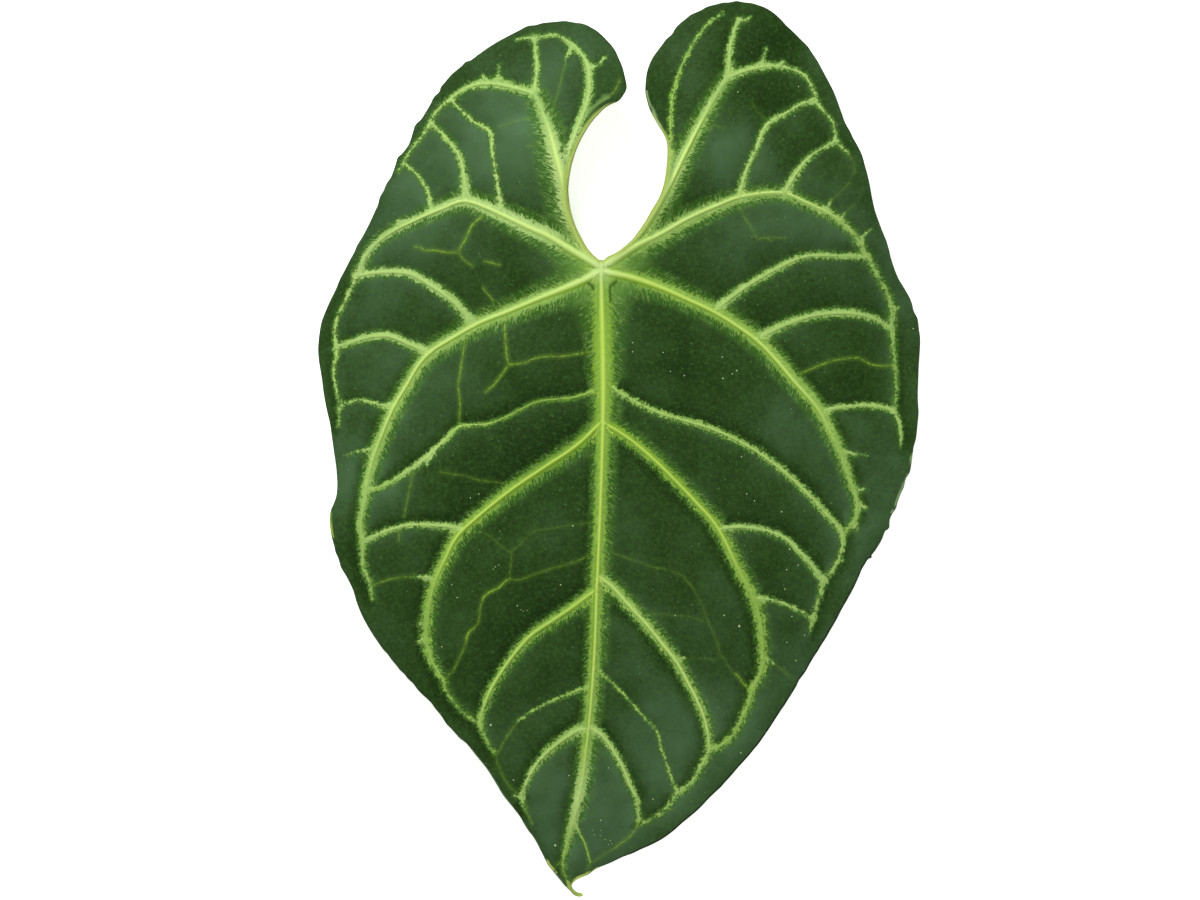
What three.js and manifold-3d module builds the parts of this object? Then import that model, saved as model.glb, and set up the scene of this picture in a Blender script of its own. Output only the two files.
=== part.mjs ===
// A picked anthurium leaf that lies face up: a dark waved blade, and the pale raised net of its ribs
// with the cut leaf stalk that the net grows from.
// Millimetres. +Z is up, the lobes point to +Y and the drip tip to -Y.
import * as THREE from 'three';
import { mergeVertices } from 'three/addons/utils/BufferGeometryUtils.js';
import Module from 'manifold-3d';

const wasm = await Module();
wasm.setup();

// Driving dimensions
const halfWidth = 110;
const halfLength = 163;
const bladeThickness = 0.9;
const netGap = 0.3;
const netThickness = 0.65;
const thinnestRib = 1.3;
const widestRowlessRib = 2.6;
const underRibShare = 1.5;
const outlineStep = 5.5;
const finestOutlineStep = 1;
const outlineSamples = 1400;
const stepPerRibDistance = 1.3;
const stepPerTipDistance = 0.4;
const ribStep = 6;
const fineRibStep = 2.5;
const ribEdgeSlack = 0.05;
const rowClearance = 0.95;
const ribWorth = 9;
const mendRounds = 12;
const fillStep = 10;
const fillClearance = 4.4;

// The open notch in the blade, where the stalk passes through to the net
const notchCentre = [-6.2, 63.2];
const notchRadius = 4.4;
const notchTop = 71.5;
const notchSteps = 8;

// The leaf stalk: centre line as [y, height under the hub], with the radius at each place
const stalkX = -6.2;
const stalkSides = 14;
const stalkRings = 16;
const stalkLine = [
  { y: 63.3, drop: -1.0, radius: 3.1 },
  { y: 63.3, drop: 3, radius: 3.3 },
  { y: 63.1, drop: 7, radius: 3.5 },
  { y: 62.0, drop: 11, radius: 3.5 },
  { y: 59.2, drop: 15, radius: 3.2 },
  { y: 54.2, drop: 18.4, radius: 2.8 },
  { y: 47.0, drop: 20.6, radius: 2.6 },
  { y: 38.5, drop: 21.8, radius: 2.5 },
  { y: 30.0, drop: 22.2, radius: 2.5 },
];

const dripTip = [-14.5, -160.2];

// The three places that touch the surface: both shoulders and the drip tip
const feet = [[-108.2, 40.5], [108.9, 42], [-15.4, -161]];
const footDip = 2.2;
const footSpread = 15;
const footReach = 7;

// The blade's form, as [y, value] down the leaf
const axisX = [[-165, -17], [-120, -13], [-60, -8.2], [0, -5.6], [65, -6], [165, 5]];
const archHeight = [
  [-165, 0], [-150, 3.5], [-120, 10], [-60, 18.5], [0, 23.5], [65, 25.5], [110, 23], [165, 15],
];
const sideDrop = [[-165, 2], [-120, 12], [-60, 15], [0, 17], [45, 20.5], [90, 16], [165, 9]];
const halfSpan = 106;

// Soft rises and dips, as centre, height and spread
const swells = [
  { at: [19, 104], height: 5.5, spread: 17 },
  { at: [-17, 106], height: 4.5, spread: 16 },
  { at: [3, 129], height: 5, spread: 8 },
  { at: [44, 158], height: 2.5, spread: 20 },
  { at: [-88, 88], height: 3, spread: 20 },
  { at: [90, 96], height: 2.2, spread: 22 },
  { at: [-104, -24], height: 2.6, spread: 12 },
  { at: [-82, -76], height: -1.6, spread: 16 },
  { at: [70, -78], height: -1.4, spread: 22 },
  { at: [-26, -151], height: 2, spread: 7 },
];
const quiltHeight = 3.2;
const quiltReach = 8.5;
const marginFlat = 5;
const rippleHeight = 0.9;
const rippleReach = 11;
const wideWaves = { count: 9, phase: 0.6, share: 1 };
const tightWaves = { count: 17, phase: 0, share: 0.6 };

// The outline, from the bottom of the sinus up the right lobe and round by the drip tip
const outlinePoints = [
  [-5.8, 67.5], [-2.2, 70], [2.3, 73], [7.6, 79], [12, 86.2], [15.4, 92.6], [17, 99.8], [17.4, 107],
  [15, 115], [11.2, 121.8], [9.6, 128.5], [10.6, 137], [13.6, 142.8], [20.2, 151.2], [26, 156.4],
  [34.8, 160.1], [42.4, 161.3], [50.4, 159.9], [58.8, 154.4], [65.6, 147.6], [71.8, 139.6], [77, 129.8],
  [81.6, 117.4], [87.6, 105.8], [90.4, 95], [93.6, 82.2], [98.2, 69], [103, 58.4], [106.6, 50], [109, 40.2],
  [108.4, 29.8], [108, 17], [107.4, 6], [105.6, -5], [102.2, -15], [98, -25], [95, -32.2], [91.4, -38.4],
  [87.4, -43.6], [84.8, -49.6], [79.8, -58.6], [73.2, -70.2], [65, -83.2], [58.2, -94.4], [50.6, -105.8],
  [42.8, -114.8], [34.4, -123.8], [24.8, -133], [16, -140.2], [8, -144.2], [1, -147.2], [-5, -150],
  [-10.6, -153.2], [-14.6, -155.2], [-16.4, -157.4], [-15.2, -159], [-12.8, -159.9], [-12.9, -161.3],
  [-16.2, -161], [-18.8, -158.4], [-22.8, -153.2], [-26, -148.8], [-29.4, -141.8], [-34, -135],
  [-40.8, -125.6], [-47, -115.6], [-55, -105.4], [-64.6, -95], [-74.2, -85], [-80, -78], [-84.8, -72.2],
  [-90, -64.4], [-95.6, -50.8], [-101, -39.2], [-103.8, -29], [-104, -24], [-101.8, -17], [-101.4, -11],
  [-103.1, 2.6], [-105.2, 14.2], [-107.6, 28.6], [-108.5, 36.2], [-107.2, 46.2], [-102, 57.8], [-97.2, 67.6],
  [-92.4, 76.4], [-86.4, 88.6], [-80.8, 100.8], [-74.8, 111.6], [-69.6, 121.2], [-64, 130.6], [-56.4, 138.2],
  [-46.6, 145], [-35.8, 151], [-27.4, 153.6], [-19.4, 154.3], [-12.6, 153.2], [-7, 150], [-1.4, 143.8],
  [1.4, 137.4], [2.9, 130], [0.4, 125.4], [-5, 122.4], [-10, 117], [-15, 107.8], [-17.8, 96.2],
  [-17.6, 88.6], [-15.4, 80.2], [-11.4, 72.6], [-7.4, 68.4],
];

// Every rib: how far its ridge stands up, its full widths evenly along it, and its centre line
const ribs = [
  // midrib
  { ridge: 1.5, widths: [9, 8, 8, 6, 5.6, 5.4, 5.2, 4.6, 4.4, 4.2, 3, 1.4], line: [
    [-6.2, 65.3], [-6, 53], [-5.6, 37], [-5.4, 21], [-5.7, 3], [-6.2, -13], [-6.8, -29], [-7.8, -50],
    [-8.5, -70], [-9.8, -90], [-11.9, -110], [-13.2, -120], [-15.4, -130], [-19, -144], [-20, -149],
    [-19.6, -153], [-17.8, -157.4]] },
  // ribs that run back into the lobes, bare along the sinus
  { ridge: 1.2, widths: [4, 3.6, 5, 6, 4.4, 3], line: [
    [-7.4, 66.6], [-12.6, 71.8], [-16.2, 79], [-19, 86], [-19.8, 94], [-22.2, 104], [-25.2, 115],
    [-30.2, 128.2]] },
  { ridge: 1.2, widths: [4, 5, 5.6, 5, 4, 3], line: [
    [-4.6, 66.6], [6, 75.4], [12.8, 84.6], [18.8, 95.8], [24.8, 108.2], [31.2, 120.6], [35.2, 127.8],
    [39.6, 134]] },
  // upper side ribs, with the right one running on inside the margin
  { ridge: 1.1, widths: [5, 6, 5.4, 4.6, 4, 3, 2.6, 2.2], line: [
    [-7.4, 66], [-17, 71.8], [-25, 76.6], [-33, 80.2], [-43, 85], [-51, 88.4], [-56, 89.4], [-64, 86.6],
    [-72, 83.2], [-82, 78.2], [-88, 73.6], [-92, 68.2], [-94.2, 62.8]] },
  { ridge: 1.1, widths: [5, 5.6, 5, 4.6, 3.6, 3, 2.4, 2, 1.8, 1.5, 1.4, 1.3], line: [
    [-4.8, 66], [6, 73], [15, 77.4], [25, 83], [35, 87.4], [44, 90.8], [59.3, 92.2], [66.2, 89.2],
    [77.4, 83.6], [83.8, 78.2], [89, 70.6], [93.4, 62.6], [98.2, 53], [98.6, 43], [99.6, 32],
    [100.2, 22.4], [99.5, 14.4], [101, 3]] },
  // middle side ribs
  { ridge: 1.1, widths: [5.4, 6, 5.2, 4.6, 4, 3.4, 3, 2.6, 2.6, 2.2, 1.6], line: [
    [-6.8, 63.8], [-17, 58.8], [-30, 53.4], [-40, 49.2], [-50, 45.2], [-60, 39.6], [-67.6, 34.8],
    [-71.6, 29.8], [-76, 22.2], [-80, 15.6], [-84, 6.2], [-88.2, -5], [-91.4, -18.2], [-92.8, -26],
    [-92.2, -34], [-92, -42], [-89.4, -49.2], [-88.8, -54]] },
  { ridge: 1.1, widths: [5, 5.6, 5.2, 4.6, 4, 3.6, 3, 2.6, 2.2, 1.8, 1.6], line: [
    [-5.6, 63.8], [4, 62], [15, 58.4], [25, 54], [34, 49.8], [42, 45], [50, 39.2], [56, 33.2], [63, 25],
    [71.8, 14.8], [76.6, 5.8], [80.6, -2.6], [83, -10.6], [85.8, -18.2], [85.2, -25], [80.6, -30.6]] },
  // lower side ribs
  { ridge: 1.1, widths: [5, 5.4, 5, 4.8, 5, 4.8, 4.4, 3, 2.4, 1.5, 1.8], line: [
    [-6.2, 9.8], [-15, 1.8], [-27, -6.2], [-39, -14.4], [-51, -24.2], [-57.6, -31], [-62.4, -39.8],
    [-66.4, -48.2], [-68.4, -56.6], [-69.2, -65], [-68.6, -72.6], [-66.6, -77.4], [-63.8, -82.2],
    [-61.4, -88.2], [-57, -93.6], [-53.2, -97], [-49.8, -98.4]] },
  { ridge: 1.1, widths: [4.6, 5, 4.8, 4.4, 4.2, 4, 3.4, 3, 2.6, 2, 1.5, 1.5], line: [
    [-5.4, 9.8], [4, 3.8], [12, -2.8], [20, -10.6], [28, -19], [34.4, -26.2], [38.4, -33], [41.4, -39.4],
    [44.8, -46.2], [48.2, -52.6], [50, -58.2], [51.4, -65.4], [51.8, -72.6], [52, -77], [50, -83],
    [48, -86], [47.4, -89.4], [44.8, -96.2], [40.4, -103.6], [36, -107], [32.6, -107.8]] },
  // the two pairs of side ribs nearest the tip
  { ridge: 1, widths: [5.4, 4, 4, 3.8, 3, 2.6, 3, 1.6, 1.3, 1.3, 1.3], line: [
    [-8, -50.6], [-15, -55.6], [-23.8, -61.6], [-31.4, -66.8], [-37, -73], [-41.8, -79.6], [-46, -86.6],
    [-48.4, -92.6], [-49.8, -98.2], [-48.4, -103], [-45, -109], [-42.6, -115.4], [-39.8, -120.6],
    [-35, -125.4]] },
  { ridge: 1, widths: [4.2, 4, 4.2, 4, 4, 3.6, 3, 3.2, 1.8, 1.6, 1.4, 1.3, 1.3], line: [
    [-7.6, -45.2], [-1.4, -50], [4, -56.2], [10, -62.6], [16.6, -70.8], [21.2, -76.8], [24.6, -83],
    [28.2, -90], [31, -97], [32.4, -104.6], [32.4, -108.4], [29.8, -113.8], [26.2, -119.8],
    [21.2, -124], [16.8, -129.6], [8, -135.2]] },
  { ridge: 0.8, widths: [4.6, 3.6, 3.2, 2.6, 2, 1.3, 1.3], line: [
    [-10.8, -100.4], [-15, -101.2], [-21, -105], [-27, -110.2], [-31, -115.4], [-33.8, -121.4],
    [-35, -125.4], [-33.6, -129.8]] },
  { ridge: 0.8, widths: [3.6, 2.6, 2.6, 2.6, 2.2, 1.4, 1.3], line: [
    [-10.6, -99.8], [-5.8, -103], [-1, -109.8], [1.8, -115], [4.2, -121], [6.6, -126.2], [7.4, -133.4],
    [5.2, -138.2], [-1, -143.4]] },
  { ridge: 0.5, widths: [1.3, 1.3], line: [[-16.6, -132], [-14.6, -137], [-11.8, -143], [-10.2, -149]] },
  // ribs between the side ribs
  { ridge: 0.7, widths: [2.4, 1.8, 1.8, 1.8, 1.6, 1.6], line: [
    [-6.2, 22.4], [-15, 19], [-29.4, 17], [-38.5, 12.6], [-47, 9.2], [-57.2, 8.2], [-62.4, 3.4],
    [-69.8, -3.4], [-77.2, -8.6], [-83.6, -12.6], [-90, -14.6]] },
  { ridge: 0.7, widths: [2.4, 1.8, 1.8, 1.6, 1.6, 1.8, 2, 1.8, 1.6, 1.3, 1.3], line: [
    [-5, 24.4], [4, 18.2], [15, 13.4], [25, 10.4], [34, 7.6], [46, 1.8], [56.8, -5.8], [67, -14.8],
    [74.2, -22.6], [80.4, -30.6], [79.6, -38.8], [76.8, -43.8], [73.8, -47.4], [72.6, -52.2],
    [71, -57.4], [69, -65]] },
  { ridge: 0.5, widths: [1.6, 1.3, 1.3], line: [
    [-10.6, -85], [-19, -88.4], [-29.4, -93], [-36.2, -97.6]] },
  { ridge: 0.5, widths: [1.3, 1.3, 1.6], line: [
    [-8.6, -78], [-2.6, -83.6], [4, -90.4], [9.4, -96.6], [13.8, -101.4], [15.6, -107.8], [17.8, -114.6],
    [21.2, -124]] },
  // branches of the left half
  { ridge: 0.7, widths: [3, 2.4, 1.8, 1.6, 1.6, 1.4, 1.3], line: [
    [-30.2, 128.2], [-35.8, 129.8], [-45, 131.8], [-52.8, 131], [-60, 126.6], [-66, 121], [-69.6, 114.2],
    [-75.2, 107], [-79.2, 100]] },
  { ridge: 0.6, widths: [2, 1.5, 1.3], line: [[-30.2, 128.2], [-29.4, 139], [-30.4, 148.2]] },
  { ridge: 0.6, widths: [1.8, 1.6, 1.5, 1.4, 1.3], line: [
    [-19.6, 96], [-18, 106.2], [-15.8, 113], [-11.4, 125], [-10.6, 133], [-12.2, 140.6], [-17.4, 146.2],
    [-23, 149], [-30.4, 148.2]] },
  { ridge: 0.7, widths: [1.5, 1.8, 2, 3], line: [
    [-60.6, 126], [-56.4, 121.8], [-51.2, 117.2], [-46.4, 114.4], [-45.4, 106.6], [-43.8, 97.8],
    [-42, 85]] },
  { ridge: 0.7, widths: [1.5, 1.9, 3], line: [
    [-67.4, 117.6], [-61.2, 111], [-57.2, 105.4], [-55.4, 97.4], [-54.8, 89.4]] },
  { ridge: 0.7, widths: [1.4, 1.8, 2.6], line: [[-77, 103], [-71.6, 97.8], [-68.6, 92.6], [-67, 85.6]] },
  { ridge: 0.7, widths: [2, 1.6, 1.8, 1.4, 1.3], line: [
    [-94.2, 62.8], [-98.4, 53.8], [-101.8, 46.2], [-102.4, 40], [-101.6, 35.4], [-102.8, 28.2],
    [-101.8, 21.8], [-100.6, 16], [-101.2, 8]] },
  { ridge: 0.7, widths: [2.4, 2.4, 3, 3.6], line: [
    [-94.2, 62.8], [-84.4, 64], [-74.8, 63.2], [-68, 59.4], [-60.4, 54.2], [-51.4, 44.6]] },
  { ridge: 0.7, widths: [3.4, 2.6, 2, 1.6], line: [
    [-67.4, 34.4], [-75.2, 38], [-82.8, 41], [-89.2, 40.8], [-97.2, 38.4], [-102, 37]] },
  { ridge: 0.6, widths: [2.2, 1.6, 1.4], line: [[-79.6, 16.4], [-85.2, 16], [-92.4, 17.8], [-100.8, 15.9]] },
  { ridge: 0.7, widths: [3, 2, 1.8, 1.8], line: [
    [-55.6, -28.4], [-64, -27.4], [-75.6, -27.2], [-84.8, -29.8], [-92.4, -33.8]] },
  // branches of the right half
  { ridge: 0.7, widths: [2.4, 1.9, 1.6, 1.5, 1.4, 1.3], line: [
    [39.6, 134], [46, 136.4], [54, 138], [62, 136.9], [67, 134.4], [70.6, 128.2], [71.2, 125],
    [77.2, 117.4], [78.2, 111], [82.6, 106.4]] },
  { ridge: 0.6, widths: [2, 1.5, 1.3], line: [[39.6, 134], [40.2, 145], [43, 154.4]] },
  { ridge: 0.5, widths: [1.3, 1.3], line: [
    [17.4, 93], [18.8, 107], [18.7, 121], [21.2, 133.4], [26, 144.6], [32.8, 153.8], [38.6, 157],
    [43, 154.4]] },
  { ridge: 0.7, widths: [3, 2.4, 1.8, 1.5], line: [
    [43.2, 90.4], [45.4, 98.8], [49.2, 107.4], [53.6, 117], [59.8, 120.6], [66.2, 124.4], [71, 125.2]] },
  { ridge: 0.7, widths: [2.6, 1.8, 1.5], line: [[59.4, 92], [64.2, 99.8], [69, 105.4], [78.2, 111]] },
  { ridge: 0.7, widths: [3.4, 2.6, 2.2, 1.8], line: [
    [34.4, 50], [44, 57.4], [56, 64.6], [67, 69.4], [80.6, 69.6], [89.4, 69.2]] },
  { ridge: 0.7, widths: [3, 2.4, 2, 1.6], line: [
    [49, 39.6], [59, 44.6], [71.8, 48.6], [85.4, 49], [93.4, 46.6], [98.6, 43]] },
  { ridge: 0.6, widths: [2.4, 1.8, 1.4], line: [[72.4, 13.6], [80.6, 15.4], [92.6, 15.7], [99.5, 14.2]] },
  { ridge: 0.7, widths: [3, 2.6, 2.4, 2.6], line: [
    [35.6, -28.4], [44, -27.8], [52, -28.8], [59.2, -31.4], [65.6, -37.2], [70.8, -43.4],
    [73.8, -47.4]] },
  { ridge: 0.6, widths: [2.6, 1.6, 1.6], line: [[48.4, -53.4], [55.2, -54], [62.6, -56.8], [69.8, -61]] },
];

// A smooth curve through [place, value] pairs
function through(pairs, place) {
  let i = 0;
  while (i < pairs.length - 2 && place > pairs[i + 1][0]) i += 1;
  const slopeAt = (k) => {
    const before = pairs[Math.max(k - 1, 0)];
    const after = pairs[Math.min(k + 1, pairs.length - 1)];
    return (after[1] - before[1]) / (after[0] - before[0]);
  };
  const [fromPlace, fromValue] = pairs[i];
  const [toPlace, toValue] = pairs[i + 1];
  const gap = toPlace - fromPlace;
  const t = THREE.MathUtils.clamp((place - fromPlace) / gap, 0, 1);
  const rise = t * t * (3 - 2 * t);
  return fromValue + (toValue - fromValue) * rise
    + gap * slopeAt(i) * t * (1 - t) * (1 - t)
    - gap * slopeAt(i + 1) * t * t * (1 - t);
}

function curveThrough(points, closed) {
  const corners = points.map(([x, y]) => new THREE.Vector3(x, y, 0));
  return new THREE.CatmullRomCurve3(corners, closed, 'centripetal');
}

function valueAlong(values, share) {
  const place = share * (values.length - 1);
  const i = Math.min(Math.floor(place), values.length - 2);
  return THREE.MathUtils.lerp(values[i], values[i + 1], place - i);
}

// Each rib as short straight stretches, with its half width at every station
function stationsOf(rib, step) {
  const curve = curveThrough(rib.line, false);
  const count = Math.max(2, Math.round(curve.getLength() / step));
  return curve.getSpacedPoints(count).map((point, i) => {
    const half = Math.max(valueAlong(rib.widths, i / count), thinnestRib) / 2;
    const tangent = curve.getTangentAt(i / count);
    return { x: point.x, y: point.y, half, side: [-tangent.y, tangent.x] };
  });
}

function distanceToStretch(x, y, a, b) {
  const dx = b.x - a.x;
  const dy = b.y - a.y;
  const share = THREE.MathUtils.clamp(((x - a.x) * dx + (y - a.y) * dy) / (dx * dx + dy * dy), 0, 1);
  return { share, distance: Math.hypot(x - a.x - dx * share, y - a.y - dy * share) };
}

const fineRibs = ribs.map((rib) => ({ ridge: rib.ridge, stations: stationsOf(rib, fineRibStep) }));

// The net at a place: how far its middle line is, how high it stands, and if the place is on it
function netAt(x, y) {
  const found = { toMiddle: Infinity, rise: 0, inside: false };
  for (const { ridge, stations } of fineRibs) {
    for (let i = 0; i < stations.length - 1; i += 1) {
      const near = distanceToStretch(x, y, stations[i], stations[i + 1]);
      const half = THREE.MathUtils.lerp(stations[i].half, stations[i + 1].half, near.share) + ribEdgeSlack;
      found.toMiddle = Math.min(found.toMiddle, near.distance);
      if (near.distance < half) {
        found.inside = true;
        found.rise = Math.max(found.rise, ridge * (1 - near.distance / half));
      }
    }
  }
  return found;
}

// The outline as a polygon, finer where a rib runs close to it
function outlinePolygon() {
  const curve = curveThrough(outlinePoints, true);
  const fine = curve.getSpacedPoints(outlineSamples).slice(0, -1);
  const polygon = [];
  let travelled = Infinity;
  for (let i = 0; i < fine.length; i += 1) {
    const { x, y } = fine[i];
    if (i > 0) travelled += Math.hypot(x - fine[i - 1].x, y - fine[i - 1].y);
    const byRib = netAt(x, y).toMiddle * stepPerRibDistance;
    const byTip = Math.hypot(x - dripTip[0], y - dripTip[1]) * stepPerTipDistance;
    const step = THREE.MathUtils.clamp(Math.min(byRib, byTip), finestOutlineStep, outlineStep);
    if (travelled >= step) {
      polygon.push([x, y]);
      travelled = 0;
    }
  }
  return polygon;
}

const outline = outlinePolygon();

function isInOutline(x, y) {
  let inside = false;
  for (let i = 0, j = outline.length - 1; i < outline.length; j = i, i += 1) {
    const [ax, ay] = outline[i];
    const [bx, by] = outline[j];
    if ((ay > y) !== (by > y) && x < ax + (bx - ax) * (y - ay) / (by - ay)) inside = !inside;
  }
  return inside;
}

function distanceToMargin(x, y) {
  let nearest = Infinity;
  for (let i = 0; i < outline.length; i += 1) {
    const [ax, ay] = outline[i];
    const [bx, by] = outline[(i + 1) % outline.length];
    nearest = Math.min(nearest, distanceToStretch(x, y, { x: ax, y: ay }, { x: bx, y: by }).distance);
  }
  return nearest;
}

function isInNotch(x, y) {
  const dx = x - notchCentre[0];
  const dy = y - notchCentre[1];
  return Math.hypot(dx, dy) < notchRadius || (Math.abs(dx) < notchRadius && dy > 0 && y < notchTop);
}

// The points that the facets are drawn between: outline, notch, rib stations, then an even fill
function meshPoints() {
  const points = [...outline];
  const addIfClear = (x, y, clearance) => {
    if (!isInOutline(x, y)) return;
    if (points.every(([px, py]) => Math.hypot(px - x, py - y) >= clearance)) points.push([x, y]);
  };
  const [notchX, notchY] = notchCentre;
  for (let i = 0; i <= notchSteps; i += 1) {
    const angle = Math.PI * (1 + i / notchSteps);
    const x = notchX + notchRadius * Math.cos(angle);
    const y = notchY + notchRadius * Math.sin(angle);
    addIfClear(x, y, rowClearance / 2);
  }
  for (const side of [-1, 1]) {
    for (let y = notchY + 2; y < notchTop; y += 2) addIfClear(notchX + side * notchRadius, y, rowClearance);
  }
  const stationed = ribs.map((rib) => stationsOf(rib, ribStep));
  for (const stations of stationed) {
    for (const { x, y, half } of stations) {
      if (half * 2 > widestRowlessRib) addIfClear(x, y, rowClearance);
    }
  }
  for (const stations of stationed) {
    for (const { x, y, half, side } of stations) {
      addIfClear(x + side[0] * half, y + side[1] * half, rowClearance);
      addIfClear(x - side[0] * half, y - side[1] * half, rowClearance);
    }
  }
  const rowGap = fillStep * Math.sqrt(3) / 2;
  for (let row = -Math.floor(halfLength / rowGap); row * rowGap < halfLength; row += 1) {
    for (let column = -Math.floor(halfWidth / fillStep); column * fillStep < halfWidth; column += 1) {
      addIfClear((column + Math.abs(row % 2) / 2) * fillStep, row * rowGap, fillClearance);
    }
  }
  return points;
}

// Delaunay triangles, by adding one point after another
function trianglesBetween(points) {
  const far = 2000;
  const all = [...points, [-far, -far], [far, -far], [0, far]];
  const circled = (a, b, c) => {
    const [ax, ay] = all[a];
    const [bx, by] = all[b];
    const [cx, cy] = all[c];
    const d = 2 * (ax * (by - cy) + bx * (cy - ay) + cx * (ay - by));
    const a2 = ax * ax + ay * ay;
    const b2 = bx * bx + by * by;
    const c2 = cx * cx + cy * cy;
    const x = (a2 * (by - cy) + b2 * (cy - ay) + c2 * (ay - by)) / d;
    const y = (a2 * (cx - bx) + b2 * (ax - cx) + c2 * (bx - ax)) / d;
    return { corners: [a, b, c], x, y, reach: (ax - x) ** 2 + (ay - y) ** 2 };
  };
  const first = points.length;
  let triangles = [circled(first, first + 1, first + 2)];
  points.forEach(([x, y], index) => {
    const edges = new Map();
    const kept = [];
    for (const triangle of triangles) {
      if ((x - triangle.x) ** 2 + (y - triangle.y) ** 2 > triangle.reach) {
        kept.push(triangle);
        continue;
      }
      const [a, b, c] = triangle.corners;
      for (const [from, to] of [[a, b], [b, c], [c, a]]) {
        if (edges.has(`${to},${from}`)) edges.delete(`${to},${from}`);
        else edges.set(`${from},${to}`, [from, to]);
      }
    }
    for (const [from, to] of edges.values()) kept.push(circled(from, to, index));
    triangles = kept;
  });
  return triangles.map((triangle) => triangle.corners).filter((corners) => Math.max(...corners) < first);
}

const points = meshPoints();
const middleOf = ([a, b, c]) => [0, 1].map((k) => (points[a][k] + points[b][k] + points[c][k]) / 3);
const leafTriangles = trianglesBetween(points).filter((triangle) => isInOutline(...middleOf(triangle)));

function areaOf([a, b, c]) {
  const [ax, ay] = points[a];
  const [bx, by] = points[b];
  const [cx, cy] = points[c];
  return Math.abs((bx - ax) * (cy - ay) - (by - ay) * (cx - ax)) / 2;
}

// The facets round a corner as runs that are all in the patch or all out of it, going round
function runsAround(corner, facets, patch) {
  const bearing = (triangle) => {
    const [x, y] = middleOf(triangle);
    return Math.atan2(y - points[corner][1], x - points[corner][0]);
  };
  const ordered = [...facets].sort((one, other) => bearing(one) - bearing(other));
  const runs = [];
  ordered.forEach((triangle, i) => {
    const before = ordered.at(i - 1);
    const touches = triangle.filter((k) => before.includes(k)).length === 2;
    const last = runs.at(-1);
    if (last && touches && last.inside === patch.has(triangle)) last.facets.push(triangle);
    else runs.push({ inside: patch.has(triangle), joinsBefore: touches, facets: [triangle] });
  });
  if (runs.length > 1 && runs[0].joinsBefore && runs[0].inside === runs.at(-1).inside) {
    runs[0].facets.push(...runs.pop().facets);
  }
  return runs;
}

// A patch of facets with no corner where two parts of it meet in one point only: at each such
// corner the smallest run changes sides, and gaps close more readily than ribs break
function withoutPinches(chosen, candidates) {
  const patch = new Set(chosen);
  const around = new Map();
  for (const triangle of candidates) {
    for (const corner of triangle) around.set(corner, [...(around.get(corner) ?? []), triangle]);
  }
  const cost = (run) => {
    const area = run.facets.reduce((sum, triangle) => sum + areaOf(triangle), 0);
    return run.inside ? area * ribWorth : area;
  };
  const swapSides = ({ facets, inside }) => {
    for (const triangle of facets) {
      if (inside) patch.delete(triangle);
      else patch.add(triangle);
    }
  };
  for (let round = 0; round < mendRounds; round += 1) {
    let changed = false;
    for (const [corner, facets] of around) {
      let runs = runsAround(corner, facets, patch);
      while (runs.filter((run) => run.inside).length > 1) {
        swapSides(runs.reduce((best, run) => (cost(run) < cost(best) ? run : best)));
        runs = runsAround(corner, facets, patch);
        changed = true;
      }
    }
    if (!changed) break;
  }
  return candidates.filter((triangle) => patch.has(triangle));
}

const bladeTriangles = leafTriangles.filter((triangle) => !isInNotch(...middleOf(triangle)));
const netTriangles = withoutPinches(leafTriangles.filter((triangle) => {
  const [x, y] = middleOf(triangle);
  return netAt(x, y).inside || isInNotch(x, y);
}), leafTriangles);

// The height of the blade's middle sheet
function formHeight(x, y) {
  const side = (x - through(axisX, y)) / halfSpan;
  let height = through(archHeight, y) - through(sideDrop, y) * side * side;
  for (const swell of swells) {
    const away = ((x - swell.at[0]) ** 2 + (y - swell.at[1]) ** 2) / (2 * swell.spread ** 2);
    height += swell.height * Math.exp(-away);
  }
  const toRib = netAt(x, y).toMiddle;
  const toMargin = distanceToMargin(x, y);
  height += quiltHeight * toRib ** 2 / (toRib ** 2 + quiltReach ** 2) * toMargin / (toMargin + marginFlat);
  for (const { count, phase, share } of [wideWaves, tightWaves]) {
    const wave = Math.sin(count * Math.atan2(y, x) + phase);
    height += rippleHeight * share * wave * Math.exp(-toMargin / rippleReach);
  }
  for (const [footX, footY] of feet) {
    height -= footDip * Math.exp(-((x - footX) ** 2 + (y - footY) ** 2) / (2 * footSpread ** 2));
  }
  return height;
}

// Heights of the blade's two faces at every point, set level on the three feet
const rises = points.map(([x, y]) => netAt(x, y).rise);
const middleHeights = points.map(([x, y]) => formHeight(x, y));
const lowFace = middleHeights.map((height, i) => height - bladeThickness / 2 - rises[i] * underRibShare);

function lowestNear([footX, footY]) {
  const low = points.map(([x, y], k) => new THREE.Vector3(x, y, lowFace[k]));
  const near = low.filter(({ x, y }) => Math.hypot(x - footX, y - footY) < footReach);
  return near.reduce((best, corner) => (corner.z < best.z ? corner : best));
}

const plane = new THREE.Plane().setFromCoplanarPoints(...feet.map(lowestNear));
const ground = points.map(([x, y]) => {
  const { normal, constant } = plane;
  return -(normal.x * x + normal.y * y + constant) / normal.z;
});
const bladeLow = lowFace.map((height, i) => height - ground[i]);
const bladeHigh = middleHeights.map((height, i) => height + bladeThickness / 2 - ground[i]);
const netLow = bladeHigh.map((height) => height + netGap);
const netHigh = netLow.map((height, i) => height + netThickness + rises[i]);

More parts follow.
